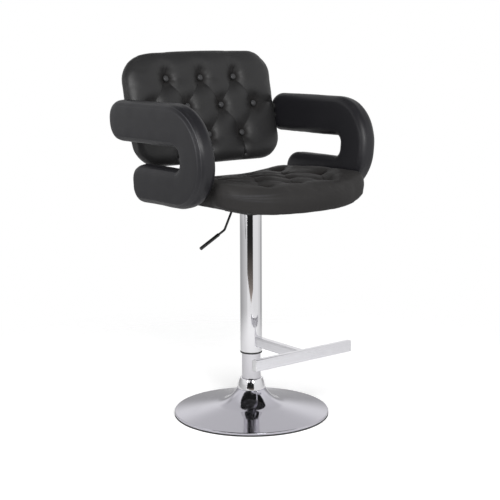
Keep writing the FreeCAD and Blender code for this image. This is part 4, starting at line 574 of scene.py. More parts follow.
def upholstery(name, dark, light, grain_depth=0.00015, tufted=False, ridges=False, specular=0.25):
    """Black leatherette: pebbled grain, mottled tone, painted shade in its folds and hollows."""
    made, tree, shader = material(name, dark, 0.45, Specular_IOR_Level=specular)
    skin = skin_node(tree, HIDE, Grain=0.5, Wrinkle=0.8)
    tone = tint(tree, skin["Mottle"], dark, light)
    height = skin["Height"]
    gloss = between(tree, skin["Sheen"], 0.38, 0.56)
    if tufted:
        hollow = vertex_mask(tree, "hollow")
        line = vertex_mask(tree, "fold_line")
        gloss = math_node(tree, "MAXIMUM", gloss, math_node(tree, "MULTIPLY", hollow, 0.95))
        # Painted shade: the colour is darkened along the fold lines.
        tone = dimmed(tree, tone, line, FOLD_SHADE_TONE, (1.0, 1.0, 1.0))
        height = math_node(tree, "ADD", height, math_node(tree, "MULTIPLY", line, 3.0))
    if ridges:
        # Painted highlight: a lighter tone along the ridges.
        ridge_highlight = add(tree, "ShaderNodeMix", data_type="RGBA")
        ridge_highlight.inputs[7].default_value = (*RIDGE_HIGHLIGHT_TONE, 1.0)
        tree.links.new(vertex_mask(tree, "ridge"), ridge_highlight.inputs[0])
        tree.links.new(tone, ridge_highlight.inputs[6])
        tone = ridge_highlight.outputs[2]
    if tufted:
        # Painted shade: the colour is darkened, with a warm cast, in the tuft hollows.
        tone = dimmed(tree, tone, hollow, (1.0, 1.0, 1.0), HOLLOW_SHADE_TONE)
    tree.links.new(tone, shader.inputs["Base Color"])
    tree.links.new(gloss, shader.inputs["Roughness"])
    bump(tree, height, shader, grain_depth)
    return made


def polished(name, color, base, smudge):
    """Polished metal: its base roughness and how much its smudges add."""
    made, tree, shader = material(name, color, base, Metallic=1.0)
    skin = skin_node(tree, POLISH, Base=base, Smudge=smudge)
    tree.links.new(skin["Roughness"], shader.inputs["Roughness"])
    bump(tree, skin["Height"], shader, 0.00003)
    return made


def worn(name, dark, light, roughness, size, depth, metallic=0.0):
    """A plain finish with fine wear: painted, plated, moulded or raw."""
    made, tree, shader = material(name, dark, roughness, Metallic=metallic)
    skin = skin_node(tree, WEAR, Size=size, Low=0.45, High=0.7)
    tree.links.new(tint(tree, skin["Mask"], dark, light), shader.inputs["Base Color"])
    rough = between(tree, skin["Mask"], roughness, roughness + 0.15)
    tree.links.new(rough, shader.inputs["Roughness"])
    bump(tree, skin["Height"], shader, depth)
    return made


def woven(name, dark, light):
    """Thin non-woven dust cloth: pressed fibres in two directions."""
    made, tree, shader = material(name, dark, 0.9)
    place = add(tree, "ShaderNodeTexCoord")
    heights = []
    for scale in ((1400.0, 90.0, 90.0), (90.0, 1400.0, 90.0)):
        stretch = add(tree, "ShaderNodeMapping", {"Scale": scale})
        fibre = add(tree, "ShaderNodeTexNoise", {"Scale": 1.0, "Detail": 3.0})
        join(tree, (place, "Object", stretch, "Vector"), (stretch, "Vector", fibre, "Vector"))
        heights.append(fibre.outputs["Fac"])
    height = math_node(tree, "ADD", *heights)
    tree.links.new(tint(tree, heights[0], dark, light), shader.inputs["Base Color"])
    bump(tree, height, shader, 0.0002)
    return made


def timber(name, dark, light):
    """Raw wood: stretched rings and fine pores."""
    made, tree, shader = material(name, dark, 0.7)
    place = add(tree, "ShaderNodeTexCoord")
    stretch = add(tree, "ShaderNodeMapping", {"Scale": (6.0, 60.0, 60.0)})
    rings = add(tree, "ShaderNodeTexNoise", {"Scale": 1.0, "Detail": 5.0, "Distortion": 1.5})
    join(tree, (place, "Object", stretch, "Vector"), (stretch, "Vector", rings, "Vector"))
    tree.links.new(tint(tree, rings.outputs["Fac"], dark, light), shader.inputs["Base Color"])
    bump(tree, rings.outputs["Fac"], shader, 0.0002)
    return made


# One black leatherette throughout; its tone differs by piece as painted light, lighter on the seat
# and the covered buttons and darkest on the arms, standing in for how brightly each is lit, and the
# seat's warm cast is a painted sheen.
arm_skin = upholstery("arm_leatherette", (0.0086, 0.0084, 0.0104), (0.0126, 0.0123, 0.0148),
                      ridges=True, specular=0.30)
panel_skin = upholstery("panel_leatherette", (0.015, 0.015, 0.016), (0.022, 0.0215, 0.023))
tufted_skin = upholstery("tufted_leatherette", (0.0125, 0.0123, 0.0128), (0.0200, 0.0198, 0.0204),
                         tufted=True, specular=0.30)
seat_skin = upholstery("seat_leatherette", (0.0205, 0.0198, 0.0197), (0.0320, 0.0306, 0.0302),
                       tufted=True, ridges=True, specular=0.2)
seat_skin.node_tree.nodes["Principled BSDF"].inputs["IOR"].default_value = 1.22
button_skin = upholstery("button_leatherette", (0.030, 0.030, 0.032), (0.044, 0.044, 0.046),
                         0.0001)
chrome = polished("polished_chrome", (0.72, 0.715, 0.735), 0.035, 0.04)
# Painted shade: the lower tube's and the dish's chrome is the polished chrome again, darkened, the
# dish's also tinted lilac, to stand in for the greyer reflections they show.
shaded_tube_chrome = polished("shaded_tube_chrome", (0.60, 0.59, 0.62), 0.05, 0.05)
shaded_base_chrome = polished("shaded_base_chrome", (0.545, 0.535, 0.585), 0.07, 0.08)
satin_chrome = polished("footrest_chrome", (0.70, 0.695, 0.725), 0.14, 0.08)
black_plastic = worn("moulded_black", (0.012, 0.012, 0.012), (0.022, 0.022, 0.022), 0.42, 300.0,
                     0.00006)
grip_plastic = worn("glossy_black", (0.006, 0.006, 0.006), (0.009, 0.009, 0.009), 0.20, 200.0,
                    0.000004)
grey_plastic = worn("cap_grey_plastic", (0.45, 0.45, 0.46), (0.52, 0.52, 0.53), 0.3, 200.0,
                    0.00003)
black_paint = worn("black_powder_coat", (0.014, 0.014, 0.015), (0.03, 0.03, 0.03), 0.4, 700.0,
                   0.0001)
zinc = worn("zinc_plating", (0.52, 0.52, 0.54), (0.66, 0.65, 0.62), 0.28, 120.0, 0.00003, 1.0)
alloy = worn("machined_alloy", (0.62, 0.62, 0.64), (0.72, 0.72, 0.73), 0.25, 90.0, 0.00002, 1.0)
iron = worn("raw_cast_iron", (0.05, 0.05, 0.05), (0.12, 0.09, 0.07), 0.7, 60.0, 0.0006)
rubber = worn("black_rubber", (0.010, 0.010, 0.010), (0.02, 0.02, 0.02), 0.75, 150.0, 0.0001)
wood = timber("hardwood_and_plywood", (0.36, 0.22, 0.11), (0.60, 0.42, 0.24))
dust_cloth = woven("dust_cloth", (0.012, 0.012, 0.012), (0.03, 0.03, 0.03))

SLOT_MATERIALS = {
    "chrome": chrome, "cap_grey": grey_plastic, "leatherette": tufted_skin,
    "dust_cloth": dust_cloth, "plywood": wood, "black_steel": black_paint, "zinc_steel": zinc,
    "piston_alloy": alloy, "black_plastic": black_plastic, "black_rubber": rubber, "iron": iron,
}
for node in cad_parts.values():
    name = node.data.materials[0].name
    node.data.materials.clear()
    node.data.materials.append(SLOT_MATERIALS[name])


# Chrome and plastic pieces of the base and column.

def lathe(name, profile, body, node, finish, segments=160):
    """A piece turned about the column's axis from a closed profile of (radius, height, edge)."""
    outline = rounded(profile, turn_points=7, run_points=2)
    thing = new_object(name, mesh_from(*turned(outline, segments)))
    return finished(thing, body, [node], finish)


def flared_base():
    """The spun base: straight dish flank, then one concave arc up to the neck, with a rolled rim.

    The outer side runs from the rim up a 9.2 degree flank to radius 93 mm, then along an arc of
    72 mm radius to the neck. The inner side is the same curve two millimetres inside.
    """
    slope = math.radians(9.2)
    wall, radius, rim, neck, bore = 0.002, 0.072, 0.205, 0.070, 0.0254
    rim_foot, rim_top, start = 0.0025, 0.010, 0.093
    start_z = rim_top + (rim - wall - start) * math.tan(slope)
    centre = np.array([start + radius * math.sin(slope), start_z + radius * math.cos(slope)])

    def flare(arc_radius, top):
        low = -math.pi / 2 - slope
        reach = math.asin((centre[1] - top) / arc_radius)
        high = -math.pi + reach
        angles = np.linspace(low, high, 40)
        return centre + arc_radius * np.stack([np.cos(angles), np.sin(angles)], -1)

    roll = np.linspace(0, math.pi / 2, 7)
    edge = np.stack([rim - wall + wall * np.cos(roll), rim_top - wall + wall * np.sin(roll)], -1)
    outer = flare(radius, neck)
    inner = flare(radius + wall, neck - wall)[::-1]
    flank = edge[-1] + (outer[0] - edge[-1]) * np.linspace(0, 1, 26)[1:-1, None]
    under = [[rim - wall, rim_top - wall / math.cos(slope)], [rim - wall, rim_foot],
             [rim, rim_foot]]
    profile = np.vstack([edge, flank, outer, [[bore, neck], [bore, neck - wall]], inner, under])
    thing = new_object("base_shell_polished", mesh_from(*turned(profile, 256)))
    return finished(thing, "base", ["base_shell"], shaded_base_chrome, crease=50)


flared_base()
lathe("base_rubber_foot", [(0.1894, 0, 0.0008), (0.2054, 0, 0.0008), (0.2056, 0.0042, 0.0003),
                           (0.2051, 0.0042, 0.0002), (0.2051, 0.0025, 0.0002),
                           (0.20295, 0.0025, 0.0002), (0.20295, 0.0065, 0.0006),
                           (0.19895, 0.0065, 0.0006), (0.19895, 0.0025, 0.0004),
                           (0.1894, 0.0025, 0.0005)],
      "base", "base_foot_ring", rubber, 256)
lathe("column_collar_polished",
      [(0.035, 0.070, 0.0004), (0.0375, 0.070, 0.0006), (0.0366, 0.0765, 0.06),
       (0.0345, 0.0850, 0.06), (0.0327, 0.0905, 0.06), (0.0300, 0.098, 0.0014),
       (0.0252, 0.098, 0.0006), (0.0252, 0.0955, 0.0004), (0.0275, 0.0955, 0.0004)],
      "base", "column_collar", chrome)
lathe("column_tube_polished", [(0.023, 0.0235, 0.0003), (0.025, 0.0235, 0.0003),
                               (0.025, 0.370, 0.0003), (0.023, 0.370, 0.0003)],
      "base", "column_lower_tube", shaded_tube_chrome)
sleeve_low, sleeve_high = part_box("column_sleeve")
lathe("column_sleeve_polished", [(0.027, sleeve_low[2], 0.0003), (0.0285, sleeve_low[2], 0.0005),
                                 (0.0285, sleeve_high[2], 0.0003), (0.027, sleeve_high[2], 0.0003)],
      "seat", "column_sleeve", chrome)
ring_low, ring_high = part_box("sleeve_end_ring")
lathe("sleeve_ring_moulded", [(0.02505, ring_low[2], 0.0005), (0.0292, ring_low[2], 0.0012),
                              (0.0292, 0.171, 0.0008), (0.02695, 0.171, 0.0002),
                              (0.02695, ring_high[2], 0.0005), (0.02505, ring_high[2], 0.0005)],
      "seat", "sleeve_end_ring", black_plastic)


def swept(name, corners, radius, bend, body, node, finish):
    """A round rod along corners in the plane y = 0, bent to one radius, with domed ends.

    The path is a run of straight pieces and arcs; each point of the skin is
    path + radius (cos v across + sin v Y), with across the path's own normal in the plane.
    """
    spots = np.array(corners)
    path = [spots[0]]
    for index in range(1, len(spots) - 1):
        before = spots[index - 1] - spots[index]
        after = spots[index + 1] - spots[index]
        before /= np.linalg.norm(before)
        after /= np.linalg.norm(after)
        half = math.acos(float(before @ after)) / 2
        reach = bend / math.tan(half)
        share = np.linspace(0, 1, 15)[:, None]
        first, last = spots[index] + before * reach, spots[index] + after * reach
        middle = (before + after) / np.linalg.norm(before + after)
        centre = spots[index] + middle * bend / math.sin(half)
        arc = first + (last - first) * share - centre
        path += list(centre + unit(arc) * bend)
    path = np.array(path + [spots[-1]])
    along = unit(np.gradient(path, axis=0))
    dome = np.linspace(0, math.pi / 2, 6)[:-1]
    first = path[0] - along[0] * (np.cos(dome) * radius * 0.5)[:, None]
    last = path[-1] + along[-1] * (np.cos(dome[::-1]) * radius * 0.5)[:, None]
    way = np.vstack([first, path, last])
    across = np.vstack([np.repeat(along[:1], 5, 0), along, np.repeat(along[-1:], 5, 0)])
    across = np.stack([-across[:, 1], across[:, 0]], -1)
    size = np.concatenate([np.sin(dome), np.ones(len(path)), np.sin(dome[::-1])]) * radius
    turn = full_turn(32)
    flat = way[:, None] + across[:, None] * (size[:, None] * np.cos(turn))[..., None]
    points = np.stack([flat[..., 0], size[:, None] * np.sin(turn), flat[..., 1]], -1)
    mesh = mesh_from(points, grid_faces(len(way), len(turn)))
    return finished(new_object(name, mesh), body, [node], finish)


def bar(name, outline, stations, axis, node, finish):
    """A straight bar: one outline carried along an axis, drawn in by an inset at each station."""
    inner = inward(outline)
    rings = []
    for place, inset in stations:
        ring = outline + inner * inset
        rings.append(np.insert(ring, axis, place, axis=1))
    count = len(outline)
    mesh = mesh_from(np.array(rings), grid_faces(len(stations), count), end_rings(stations, count))
    return finished(new_object(name, mesh), "seat", [node], finish)


def box_section(low, high, first, second, radius):
    """The rounded outline of a box across two of its axes."""
    return rounded([(low[first], low[second], radius), (high[first], low[second], radius),
                    (high[first], high[second], radius), (low[first], high[second], radius)], 9, 3)


bar_low, bar_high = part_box("footrest_crossbar")
bar_section = box_section(bar_low, bar_high, 1, 2, 0.0025)
bar("footrest_bar_chromed", bar_section, [(bar_low[0], 0), (bar_high[0], 0)], 0,
    "footrest_crossbar", satin_chrome)
cap_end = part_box("footrest_end_caps")[1][0]
for side in (-1, 1):
    stations = [(side * (bar_high[0] + 0.00001), 0.0), (side * (cap_end - 0.0007), 0.0),
                (side * (cap_end - 0.0002), 0.0003), (side * cap_end, 0.0009)]
    bar("footrest_cap_" + ("right", "left")[side > 0], bar_section, stations, 0,
        "footrest_end_caps", grey_plastic)
stem_low, stem_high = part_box("footrest_stem")
STEM_END = -0.0268
bar("footrest_stem_chromed", box_section(stem_low, stem_high, 0, 2, 0.002),
    [(stem_low[1], 0), (STEM_END, 0)], 1, "footrest_stem", satin_chrome)

LEVER_PATH = ((0.0065, 0.5643), (-0.055, 0.5643), (-0.086, 0.5033), (-0.1605, 0.46357))
swept("release_lever_rod", LEVER_PATH, 0.003, 0.012, "lever", "release_lever",
      black_paint)


def lever_handle():
    """The moulded grip on the lever's end: a sleeve with a rounded mouth and a domed cap."""
    end = np.array([-0.161, 0.4633])
    start = np.array(LEVER_PATH[2])
    along = (end - start) / np.linalg.norm(end - start)
    profile = rounded([(0.0031, -0.064, 0.0003), (0.0045, -0.064, 0.0008), (0.0045, 0.002, 0.0016),
                       (0.0, 0.002, 0.0), (0.0, 0.001, 0.0), (0.0031, 0.001, 0.0)], 8, 4)
    points, faces = turned(profile, 48)
    across = np.array([-along[1], along[0]])
    x = end[0] + points[..., 2] * along[0] + points[..., 0] * across[0]
    z = end[1] + points[..., 2] * along[1] + points[..., 0] * across[1]
    mesh = mesh_from(np.stack([x, points[..., 1], z], -1), faces)
    thing = new_object("lever_grip_moulded", mesh)
    return finished(thing, "lever", ["lever_grip"], grip_plastic)


lever_handle()


# Seat cushion.

def saddle(x):
    """Height of the seat's underside: flat in the middle, then a 500 mm arc up to each side."""
    out = np.maximum(np.abs(x) - SEAT_FLAT_HALF_WIDTH, 0)
    return SEAT_BOTTOM + SEAT_SADDLE_RADIUS - np.sqrt(SEAT_SADDLE_RADIUS ** 2 - out ** 2)


def arm_face(z, gap):
    """How far out the arm's inner face stands at a height, less a gap."""
    return ARM_CENTRE + (z - ARM_REFERENCE) * math.sin(ARM_LEAN) - ARM_THICKNESS / 2 - gap


def seat_crown(y):
    """Height of the seat's top over its underside: a parabola through its three heights."""
    share = (y + SEAT_FRONT) / (SEAT_FRONT + SEAT_REAR)
    low, high, end = SEAT_HEIGHTS
    return low + (end - low) * share + 4 * share * (1 - share) * (high - (low + end) / 2)


def seat_outline(inset=0.0, count=260):
    """The seat's plan: a bowed front on a circle, straight sides and rounded rear corners.

    The front corners are quadratic curves (1-t)^2 A + 2t(1-t) B + t^2 C with B on the corner.
    """
    depth = SEAT_FRONT - SEAT_CORNER_FRONT
    radius = (SEAT_HALF_WIDTH ** 2 + depth ** 2) / (2 * depth)
    side, reach = SEAT_HALF_WIDTH - inset, 0.024
    x = np.linspace(-side + reach, side - reach, 60)
    y = radius - SEAT_FRONT - np.sqrt((radius - inset) ** 2 - x ** 2)
    corner_y = radius - SEAT_FRONT - math.sqrt((radius - inset) ** 2 - side ** 2)
    t = np.linspace(0, 1, 12)[1:, None]
    start = np.array([x[-1], y[-1]])
    corner, leave = np.array([side, corner_y]), np.array([side, corner_y + reach])
    bend = (1 - t) ** 2 * start + 2 * t * (1 - t) * corner + t ** 2 * leave
    rear_y = SEAT_REAR - inset
    box = [(-side, 0, 0.01), (side, 0, 0.01), (side, rear_y, reach), (-side, rear_y, reach)]
    rear = rounded(box, 10, 2)
    parts = [np.stack([x, y], -1), bend, rear[24:34], rear[36:46], (bend[::-1] * [-1, 1])[:-1]]
    return evenly(np.vstack(parts), count)


def seat_form(slack):
    """The cushion's skin as rings: underside, drawn-in side with a belly, rounded edge, crown.

    Past an inset of 20 mm the rings shrink towards the middle.
    """
    outline = seat_outline(slack)
    inner = inward(outline)
    centre = np.array([0.0, -0.05])
    even = 0.02
    rings = []

    def ring(inset, height):
        spots = outline + inner * min(inset, even)
        if inset >= even:
            far = np.linalg.norm(outline - centre, axis=1, keepdims=True)
            spots = centre + (spots - centre) * np.clip(1 - (inset - even) / (far - even), 0, 1)
        rings.append(np.column_stack([spots, saddle(spots[:, 0]) + height(spots)]))

    for inset in (0.30, 0.20, 0.10, 0.03, 0.010):
        ring(inset, lambda spots: 0.0)
    edge = 0.022
    for share in np.linspace(0.02, 1, 9):
        draw = 0.008 * (1 - share) ** 1.6 + 0.003 * share ** 4 - slack * max(1 - share / 0.3, 0)
        ring(draw, lambda spots: (seat_crown(spots[:, 1]) - edge - slack) * share)
    for turn in np.linspace(0, math.pi / 2, 8)[1:]:
        inset = 0.003 + edge * (1 - math.cos(turn))
        ring(inset, lambda spots: seat_crown(spots[:, 1]) - slack - edge * (1 - math.sin(turn)))
    for inset in (0.03, 0.05, 0.08, 0.12, 0.16, 0.20, 0.30):
        ring(inset, lambda spots: seat_crown(spots[:, 1]) - slack)
    return mesh_from(np.array(rings), grid_faces(len(rings), len(outline)))


def seat_cushion():
    """The seat: its form filled by the cloth pass, then tufted, pleated and cut for the arms."""
    thing = new_object("seat_cushion_tufted", seat_form(SKIN_SLACK))
    remeshed(thing, SKIN_VOXEL)
    rows = tuft_rows(TUFT_ROWS, TUFT_PITCH)
    spots = np.array([spot for row in rows for spot in row])
    points = vertex_array(thing.data)
    top = saddle(points[:, 0]) + seat_crown(points[:, 1])
    upper = ease(0.022, 0.010, top - points[:, 2])
    away = nearest(points[:, :2], spots)
    under = points[:, 2] < saddle(points[:, 0]) + 0.006
    hold = np.maximum(under * 1.0, upper * ease(0.020, 0.007, away))
    swollen(thing, hold, 0.007)
    evened(thing)
    low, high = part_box("seat_cushion")
    set_vertices(thing.data, fitted(vertex_array(thing.data), low, high))
    finer(thing)
    points = vertex_array(thing.data)
    normals = normal_array(thing.data)
    top = saddle(points[:, 0]) + seat_crown(points[:, 1])
    upper = ease(0.026, 0.008, top - points[:, 2]) * ease(0.2, 0.7, normals[:, 2])
    folds = [(a, b, 0.9, 0.0) for a, b in diamond(rows, TUFT_PITCH)]
    for spot in rows[0]:
        folds.append((spot, (spot[0] * 1.05, spot[1] - 0.055), 0.5, 1.0))
    for side in (-1, 1):
        for row in (rows[1], rows[3]):
            end = row[0] if side < 0 else row[-1]
            folds.append((end, (side * 0.210, end[1]), 0.6, 1.0))
        for row in (rows[0], rows[2]):
            end = row[0] if side < 0 else row[-1]
            folds.append((end, (side * 0.190, end[1] + 0.02), 0.3, 1.0))
    depth, line, hollow = tuft_relief(points[:, :2], spots, folds, hollow=0.0130, floor=0.0035,
                                      reach=0.015, fold=0.0045, width=0.0040, limit=0.015, seed=3)
    ripple = 0.0003 * waves(points, 0.05, 5)
    front = ease(-0.10, -0.19, points[:, 1]) * ease(0.3, 0.8, -normals[:, 1])
    beside_middle = points[:, 0] + 0.165
    from_left = np.exp(-(beside_middle / 0.045) ** 2)
    level = points[:, 2] - saddle(points[:, 0])
    pleats = np.exp(-((level - 0.045 - 0.1 * beside_middle) / 0.0016) ** 2)
    pleats += 0.8 * np.exp(-((level - 0.039 - 0.06 * beside_middle) / 0.0014) ** 2)
    pleats += 0.5 * np.exp(-((level - 0.033) / 0.0016) ** 2)
    hem = np.exp(-((level - 0.006) / 0.0018) ** 2) * ease(0.6, 0.2, np.abs(normals[:, 2]))
    move = -depth * upper + ripple + 0.0011 * pleats * front * from_left - 0.0008 * hem
    points = points + normals * move[:, None]
    beside_arm = ease(-0.125, -0.165, points[:, 1]) * ease(0.15, 0.225, np.abs(points[:, 0]))
    beside_arm = beside_arm * ease(-0.004, 0.010, level)
    points[:, 0] += 0.010 * np.sign(points[:, 0]) * beside_arm
    points[:, 1] -= 0.004 * beside_arm
    rear_corner = ease(0.06, 0.18, np.abs(points[:, 0])) * ease(0.02, 0.12, points[:, 1])
    points[:, 2] += 0.006 * rear_corner * ease(0.015, 0.04, level)
    face = arm_face(points[:, 2], 0.0008)
    heel_y, heel_z, heel_radius = ARM_HEEL
    beside = points[:, 1] > heel_y
    beside |= np.hypot(points[:, 1] - heel_y, points[:, 2] - heel_z) < heel_radius
    points[:, 0] = np.where(beside, np.clip(points[:, 0], -face, face), points[:, 0])
    inset = nearest(points[:, :2], seat_outline(0.0, 700))
    floor = saddle(points[:, 0])
    under = ease(0.009, 0.005, points[:, 2] - floor) * ease(-0.5, -0.9, normals[:, 2])
    points[:, 2] = np.maximum(points[:, 2], floor) + 0.0035 * under * ease(0.0115, 0.0145, inset)
    set_vertices(thing.data, points)
    # fold_line and hollow are masks for painted shade in the folds and tuft hollows; ridge places a
    # painted highlight on the pleats at the left front.
    mark(thing.data, "fold_line", 1 - (1 - line) * upper)
    mark(thing.data, "hollow", hollow * upper)
    mark(thing.data, "ridge", 0.6 * np.clip(pleats, 0, 1) * front * from_left)
    return finished(thing, "seat", ["seat_cushion"], seat_skin, crease=60)


seat_cushion()


# Back cushion. Local coordinates: u across, w up the slope, t behind the front face.

def back_world(u, w, t):
    """Local to world: y = foot + t cos a + w sin a, z = foot - t sin a + w cos a."""
    y = BACK_FRONT + t * math.cos(BACK_RECLINE) + w * math.sin(BACK_RECLINE)
    z = BACK_FOOT - t * math.sin(BACK_RECLINE) + w * math.cos(BACK_RECLINE)
    return np.stack(np.broadcast_arrays(u, y, z), -1)


def back_local(points):
    """World to local: u, w along the slope and t behind the front face."""
    y, z = points[:, 1] - BACK_FRONT, points[:, 2] - BACK_FOOT
    w = y * math.sin(BACK_RECLINE) + z * math.cos(BACK_RECLINE)
    t = y * math.cos(BACK_RECLINE) - z * math.sin(BACK_RECLINE)
    return points[:, 0], w, t


def back_outline(inset=0.0, turn_points=18, run_points=36):
    """Rounded rectangle whose top edge has a crown of 7 mm: w + 7 mm (1 - (u / half)^2) w / top."""
    side, crown = BACK_HALF_WIDTH - inset, 0.007
    top, radius = BACK_HEIGHT - crown - inset, max(BACK_CORNER - inset, 0.004)
    outline = rounded([(-side, inset, radius), (side, inset, radius), (side, top, radius),
                       (-side, top, radius)], turn_points, run_points)
    outline[:, 1] += crown * (1 - (outline[:, 0] / side) ** 2) * np.clip(outline[:, 1] / top, 0, 1)
    return outline


def back_ring(inset, t):
    """The outline drawn in by an inset; past 60 mm it shrinks towards the middle."""
    even, rest = 0.060, 0.088
    outline = back_outline(min(inset, even))
    if inset >= even:
        middle = np.array([0.0, BACK_HEIGHT / 2])
        outline = middle + (outline - middle) * max(1 - (inset - even) / rest, 0)
    return back_world(outline[:, 0], outline[:, 1], t)


def back_form(slack):
    """The pad's skin as rings (inset, t): its flat rear, a side that bulges past the outline, and
    a front rolled over on a quarter ellipse of 40 mm across and 19 mm deep."""
    side, widest = slack - BACK_BULGE, 0.019
    rings = [back_ring(inset + slack, BACK_REAR) for inset in (0.148, 0.10, 0.05, 0.02, 0.010)]
    rings += [back_ring(side + 0.012 * (1 - math.cos(turn)), widest - 0.022 * math.sin(turn))
              for turn in np.linspace(-math.pi / 2, 0, 7)[:-1]]
    rings += [back_ring(side + 0.040 * (1 - math.cos(turn)),
                        slack + widest - widest * math.sin(turn))
              for turn in np.linspace(0, math.pi / 2, 13)]
    rings += [back_ring(slack + inset, slack) for inset in (0.045, 0.060, 0.085, 0.11, 0.148)]
    return mesh_from(np.array(rings), grid_faces(len(rings), len(rings[0])))


def back_cushion():
    """The back: its form filled by the cloth pass, then tufted and pressed in between the arms."""
    thing = new_object("back_cushion_tufted", back_form(SKIN_SLACK))
    remeshed(thing, SKIN_VOXEL)
    rows = tuft_rows(BUTTON_ROWS, BUTTON_PITCH, BUTTON_SHIFT)
    spots = np.array([spot for row in rows for spot in row])
    u, w, t = back_local(vertex_array(thing.data))
    away = nearest(np.stack([u, w], -1), spots)
    hold = np.maximum((t > 0.035) * 1.0, (t < 0.015) * ease(0.020, 0.007, away))
    swollen(thing, hold, 0.006)
    evened(thing, 8)
    filled = np.stack(back_local(vertex_array(thing.data)), -1)
    wide = BACK_HALF_WIDTH + BACK_BULGE
    filled = fitted(filled, (-wide, -0.004, -0.0015), (wide, BACK_HEIGHT + 0.004, BACK_REAR))
    set_vertices(thing.data, back_world(*filled.T))
    finer(thing)
    points = vertex_array(thing.data)
    normals = normal_array(thing.data)
    u, w, t = back_local(points)
    facing = back_local(normals + [0, BACK_FRONT, BACK_FOOT])[2]
    front = ease(0.026, 0.010, t) * ease(-0.2, -0.7, facing)
    folds = [(a, b, 0.8, 0.0) for a, b in diamond(rows, BUTTON_PITCH)]
    for side in (-1, 1):
        outer = rows[1][0] if side < 0 else rows[1][-1]
        folds.append((outer, (side * 0.232, outer[1] + 0.003), 1.6, 0.0))
    for spot in rows[0]:
        folds.append((spot, (spot[0] + 0.001, spot[1] - 0.062), 1.5, 0.0))
    for spot in rows[2]:
        folds.append((spot, (spot[0] - 0.005, spot[1] + 0.036), 1.1, 1.0))
        folds.append((spot, (spot[0] + 0.007, spot[1] + 0.032), 1.0, 1.0))
        folds.append((spot, (spot[0] - 0.020, spot[1] + 0.028), 0.6, 1.0))
    plane = np.stack([u, w], -1)
    depth, line, hollow = tuft_relief(plane, spots, folds, hollow=0.0135, floor=0.0070, reach=0.019,
                                      fold=0.0048, width=0.0036, limit=0.0165, seed=11)
    over_rail = 0.0032 + 0.42 * np.clip(0.228 - np.abs(u), 0, 0.018)
    depth = np.minimum(depth, over_rail + 0.02 * ease(0.190, 0.180, np.abs(u)))
    welt = np.exp(-((t - 0.039) / 0.0015) ** 2) * ease(0.8, 0.3, np.abs(facing))
    move = -depth * front - 0.0008 * welt + 0.0003 * waves(points, 0.06, 8)
    points = points + normals * move[:, None]
    face = np.where(points[:, 2] > 0.845, 1.0, arm_face(points[:, 2], 0.001))
    points[:, 0] = np.clip(points[:, 0], -face, face)
    u, w, t = back_local(points)
    upper = ease(0.17, BACK_HEIGHT, w)
    w = w + 0.011 * u * upper - 0.004 * upper * ease(-0.14, -0.20, u)
    u = u + 0.004 * ease(0.20, 0.26, w) * ease(0.13, 0.20, u)
    set_vertices(thing.data, back_world(u, w, np.minimum(t, BACK_REAR)))
    # fold_line and hollow are masks for painted shade in the folds and round the buttons.
    mark(thing.data, "fold_line", 1 - (1 - line) * front)
    mark(thing.data, "hollow", hollow * front)
    return finished(thing, "seat", ["back_cushion"], tufted_skin, crease=60)


back_cushion()


def back_buttons():
    """Covered buttons: each a low dome r(v), drawn under at its rim, with soft radial gathers."""
    profile = np.array([(0.0, 0.0), (0.0025, 0.0001), (0.0050, 0.0005), (0.0068, 0.0013),
                        (0.0079, 0.0025), (0.0084, 0.0040), (0.0080, 0.0054), (0.0062, 0.0064),
                        (0.0, 0.0064)])
    spokes, crown = 48, 0.0075
    turn = full_turn(spokes)[:, None]
    made, faces = [], []
    block = grid_faces(spokes, len(profile), wrap_rows=True, wrap_columns=False)
    source = np.random.default_rng(21)
    for row in tuft_rows(BUTTON_ROWS, BUTTON_PITCH, BUTTON_SHIFT):
        for u, w in row:
            phase = source.uniform(0, 6)
            gather = 1 + 0.012 * np.cos(11 * turn + phase) * (profile[:, 0] > 0.004)
            radius = profile[:, 0] * gather
            height = crown + np.broadcast_to(profile[:, 1], radius.shape)
            dome = back_world(u + radius * np.cos(turn), w + radius * np.sin(turn), height)
            made.append(dome.reshape(-1, 3))
            faces.append(block + spokes * len(profile) * (len(made) - 1))
    mesh = mesh_from(np.vstack(made), np.vstack(faces))
    thing = new_object("back_buttons_covered", mesh)
    return finished(thing, "seat", ["back_buttons"], button_skin, crease=50)


back_buttons()


def back_panel():
    """The covered panel behind the back: a rounded board with a soft edge and a slight crown."""
    section = ((0.120, 0.0412), (0.055, 0.0412), (0.012, 0.0412), (0.0075, 0.0412),
               (0.0066, 0.0418), (0.0064, 0.0428), (0.0068, 0.0438), (0.0080, 0.0446),
               (0.0100, 0.0451), (0.014, 0.0454), (0.022, 0.0457), (0.035, 0.0460),
               (0.058, 0.0462), (0.100, 0.0463), (0.148, 0.0463))
    rings = [back_ring(inset, t) for inset, t in section]
    count = len(rings[0])
    mesh = mesh_from(np.array(rings), grid_faces(len(rings), count), [range(count)])
    thing = new_object("back_panel_covered", mesh)
    return finished(thing, "seat", ["back_rear_panel"], panel_skin, crease=50)


back_panel()


# Arms: padded loops round a wooden core.

ARM_CORNERS = ((-0.172, 0.580, 0.118, 1), (0.138, 0.580, 0.040, 1), (0.138, 0.676, 0.040, 1),
               (-0.075, 0.676, 0.020, -1), (-0.075, 0.731, 0.020, -1), (0.226, 0.731, 0.048, 1),
               (0.226, 0.835, 0.048, 1), (-0.172, 0.835, 0.125, 1))


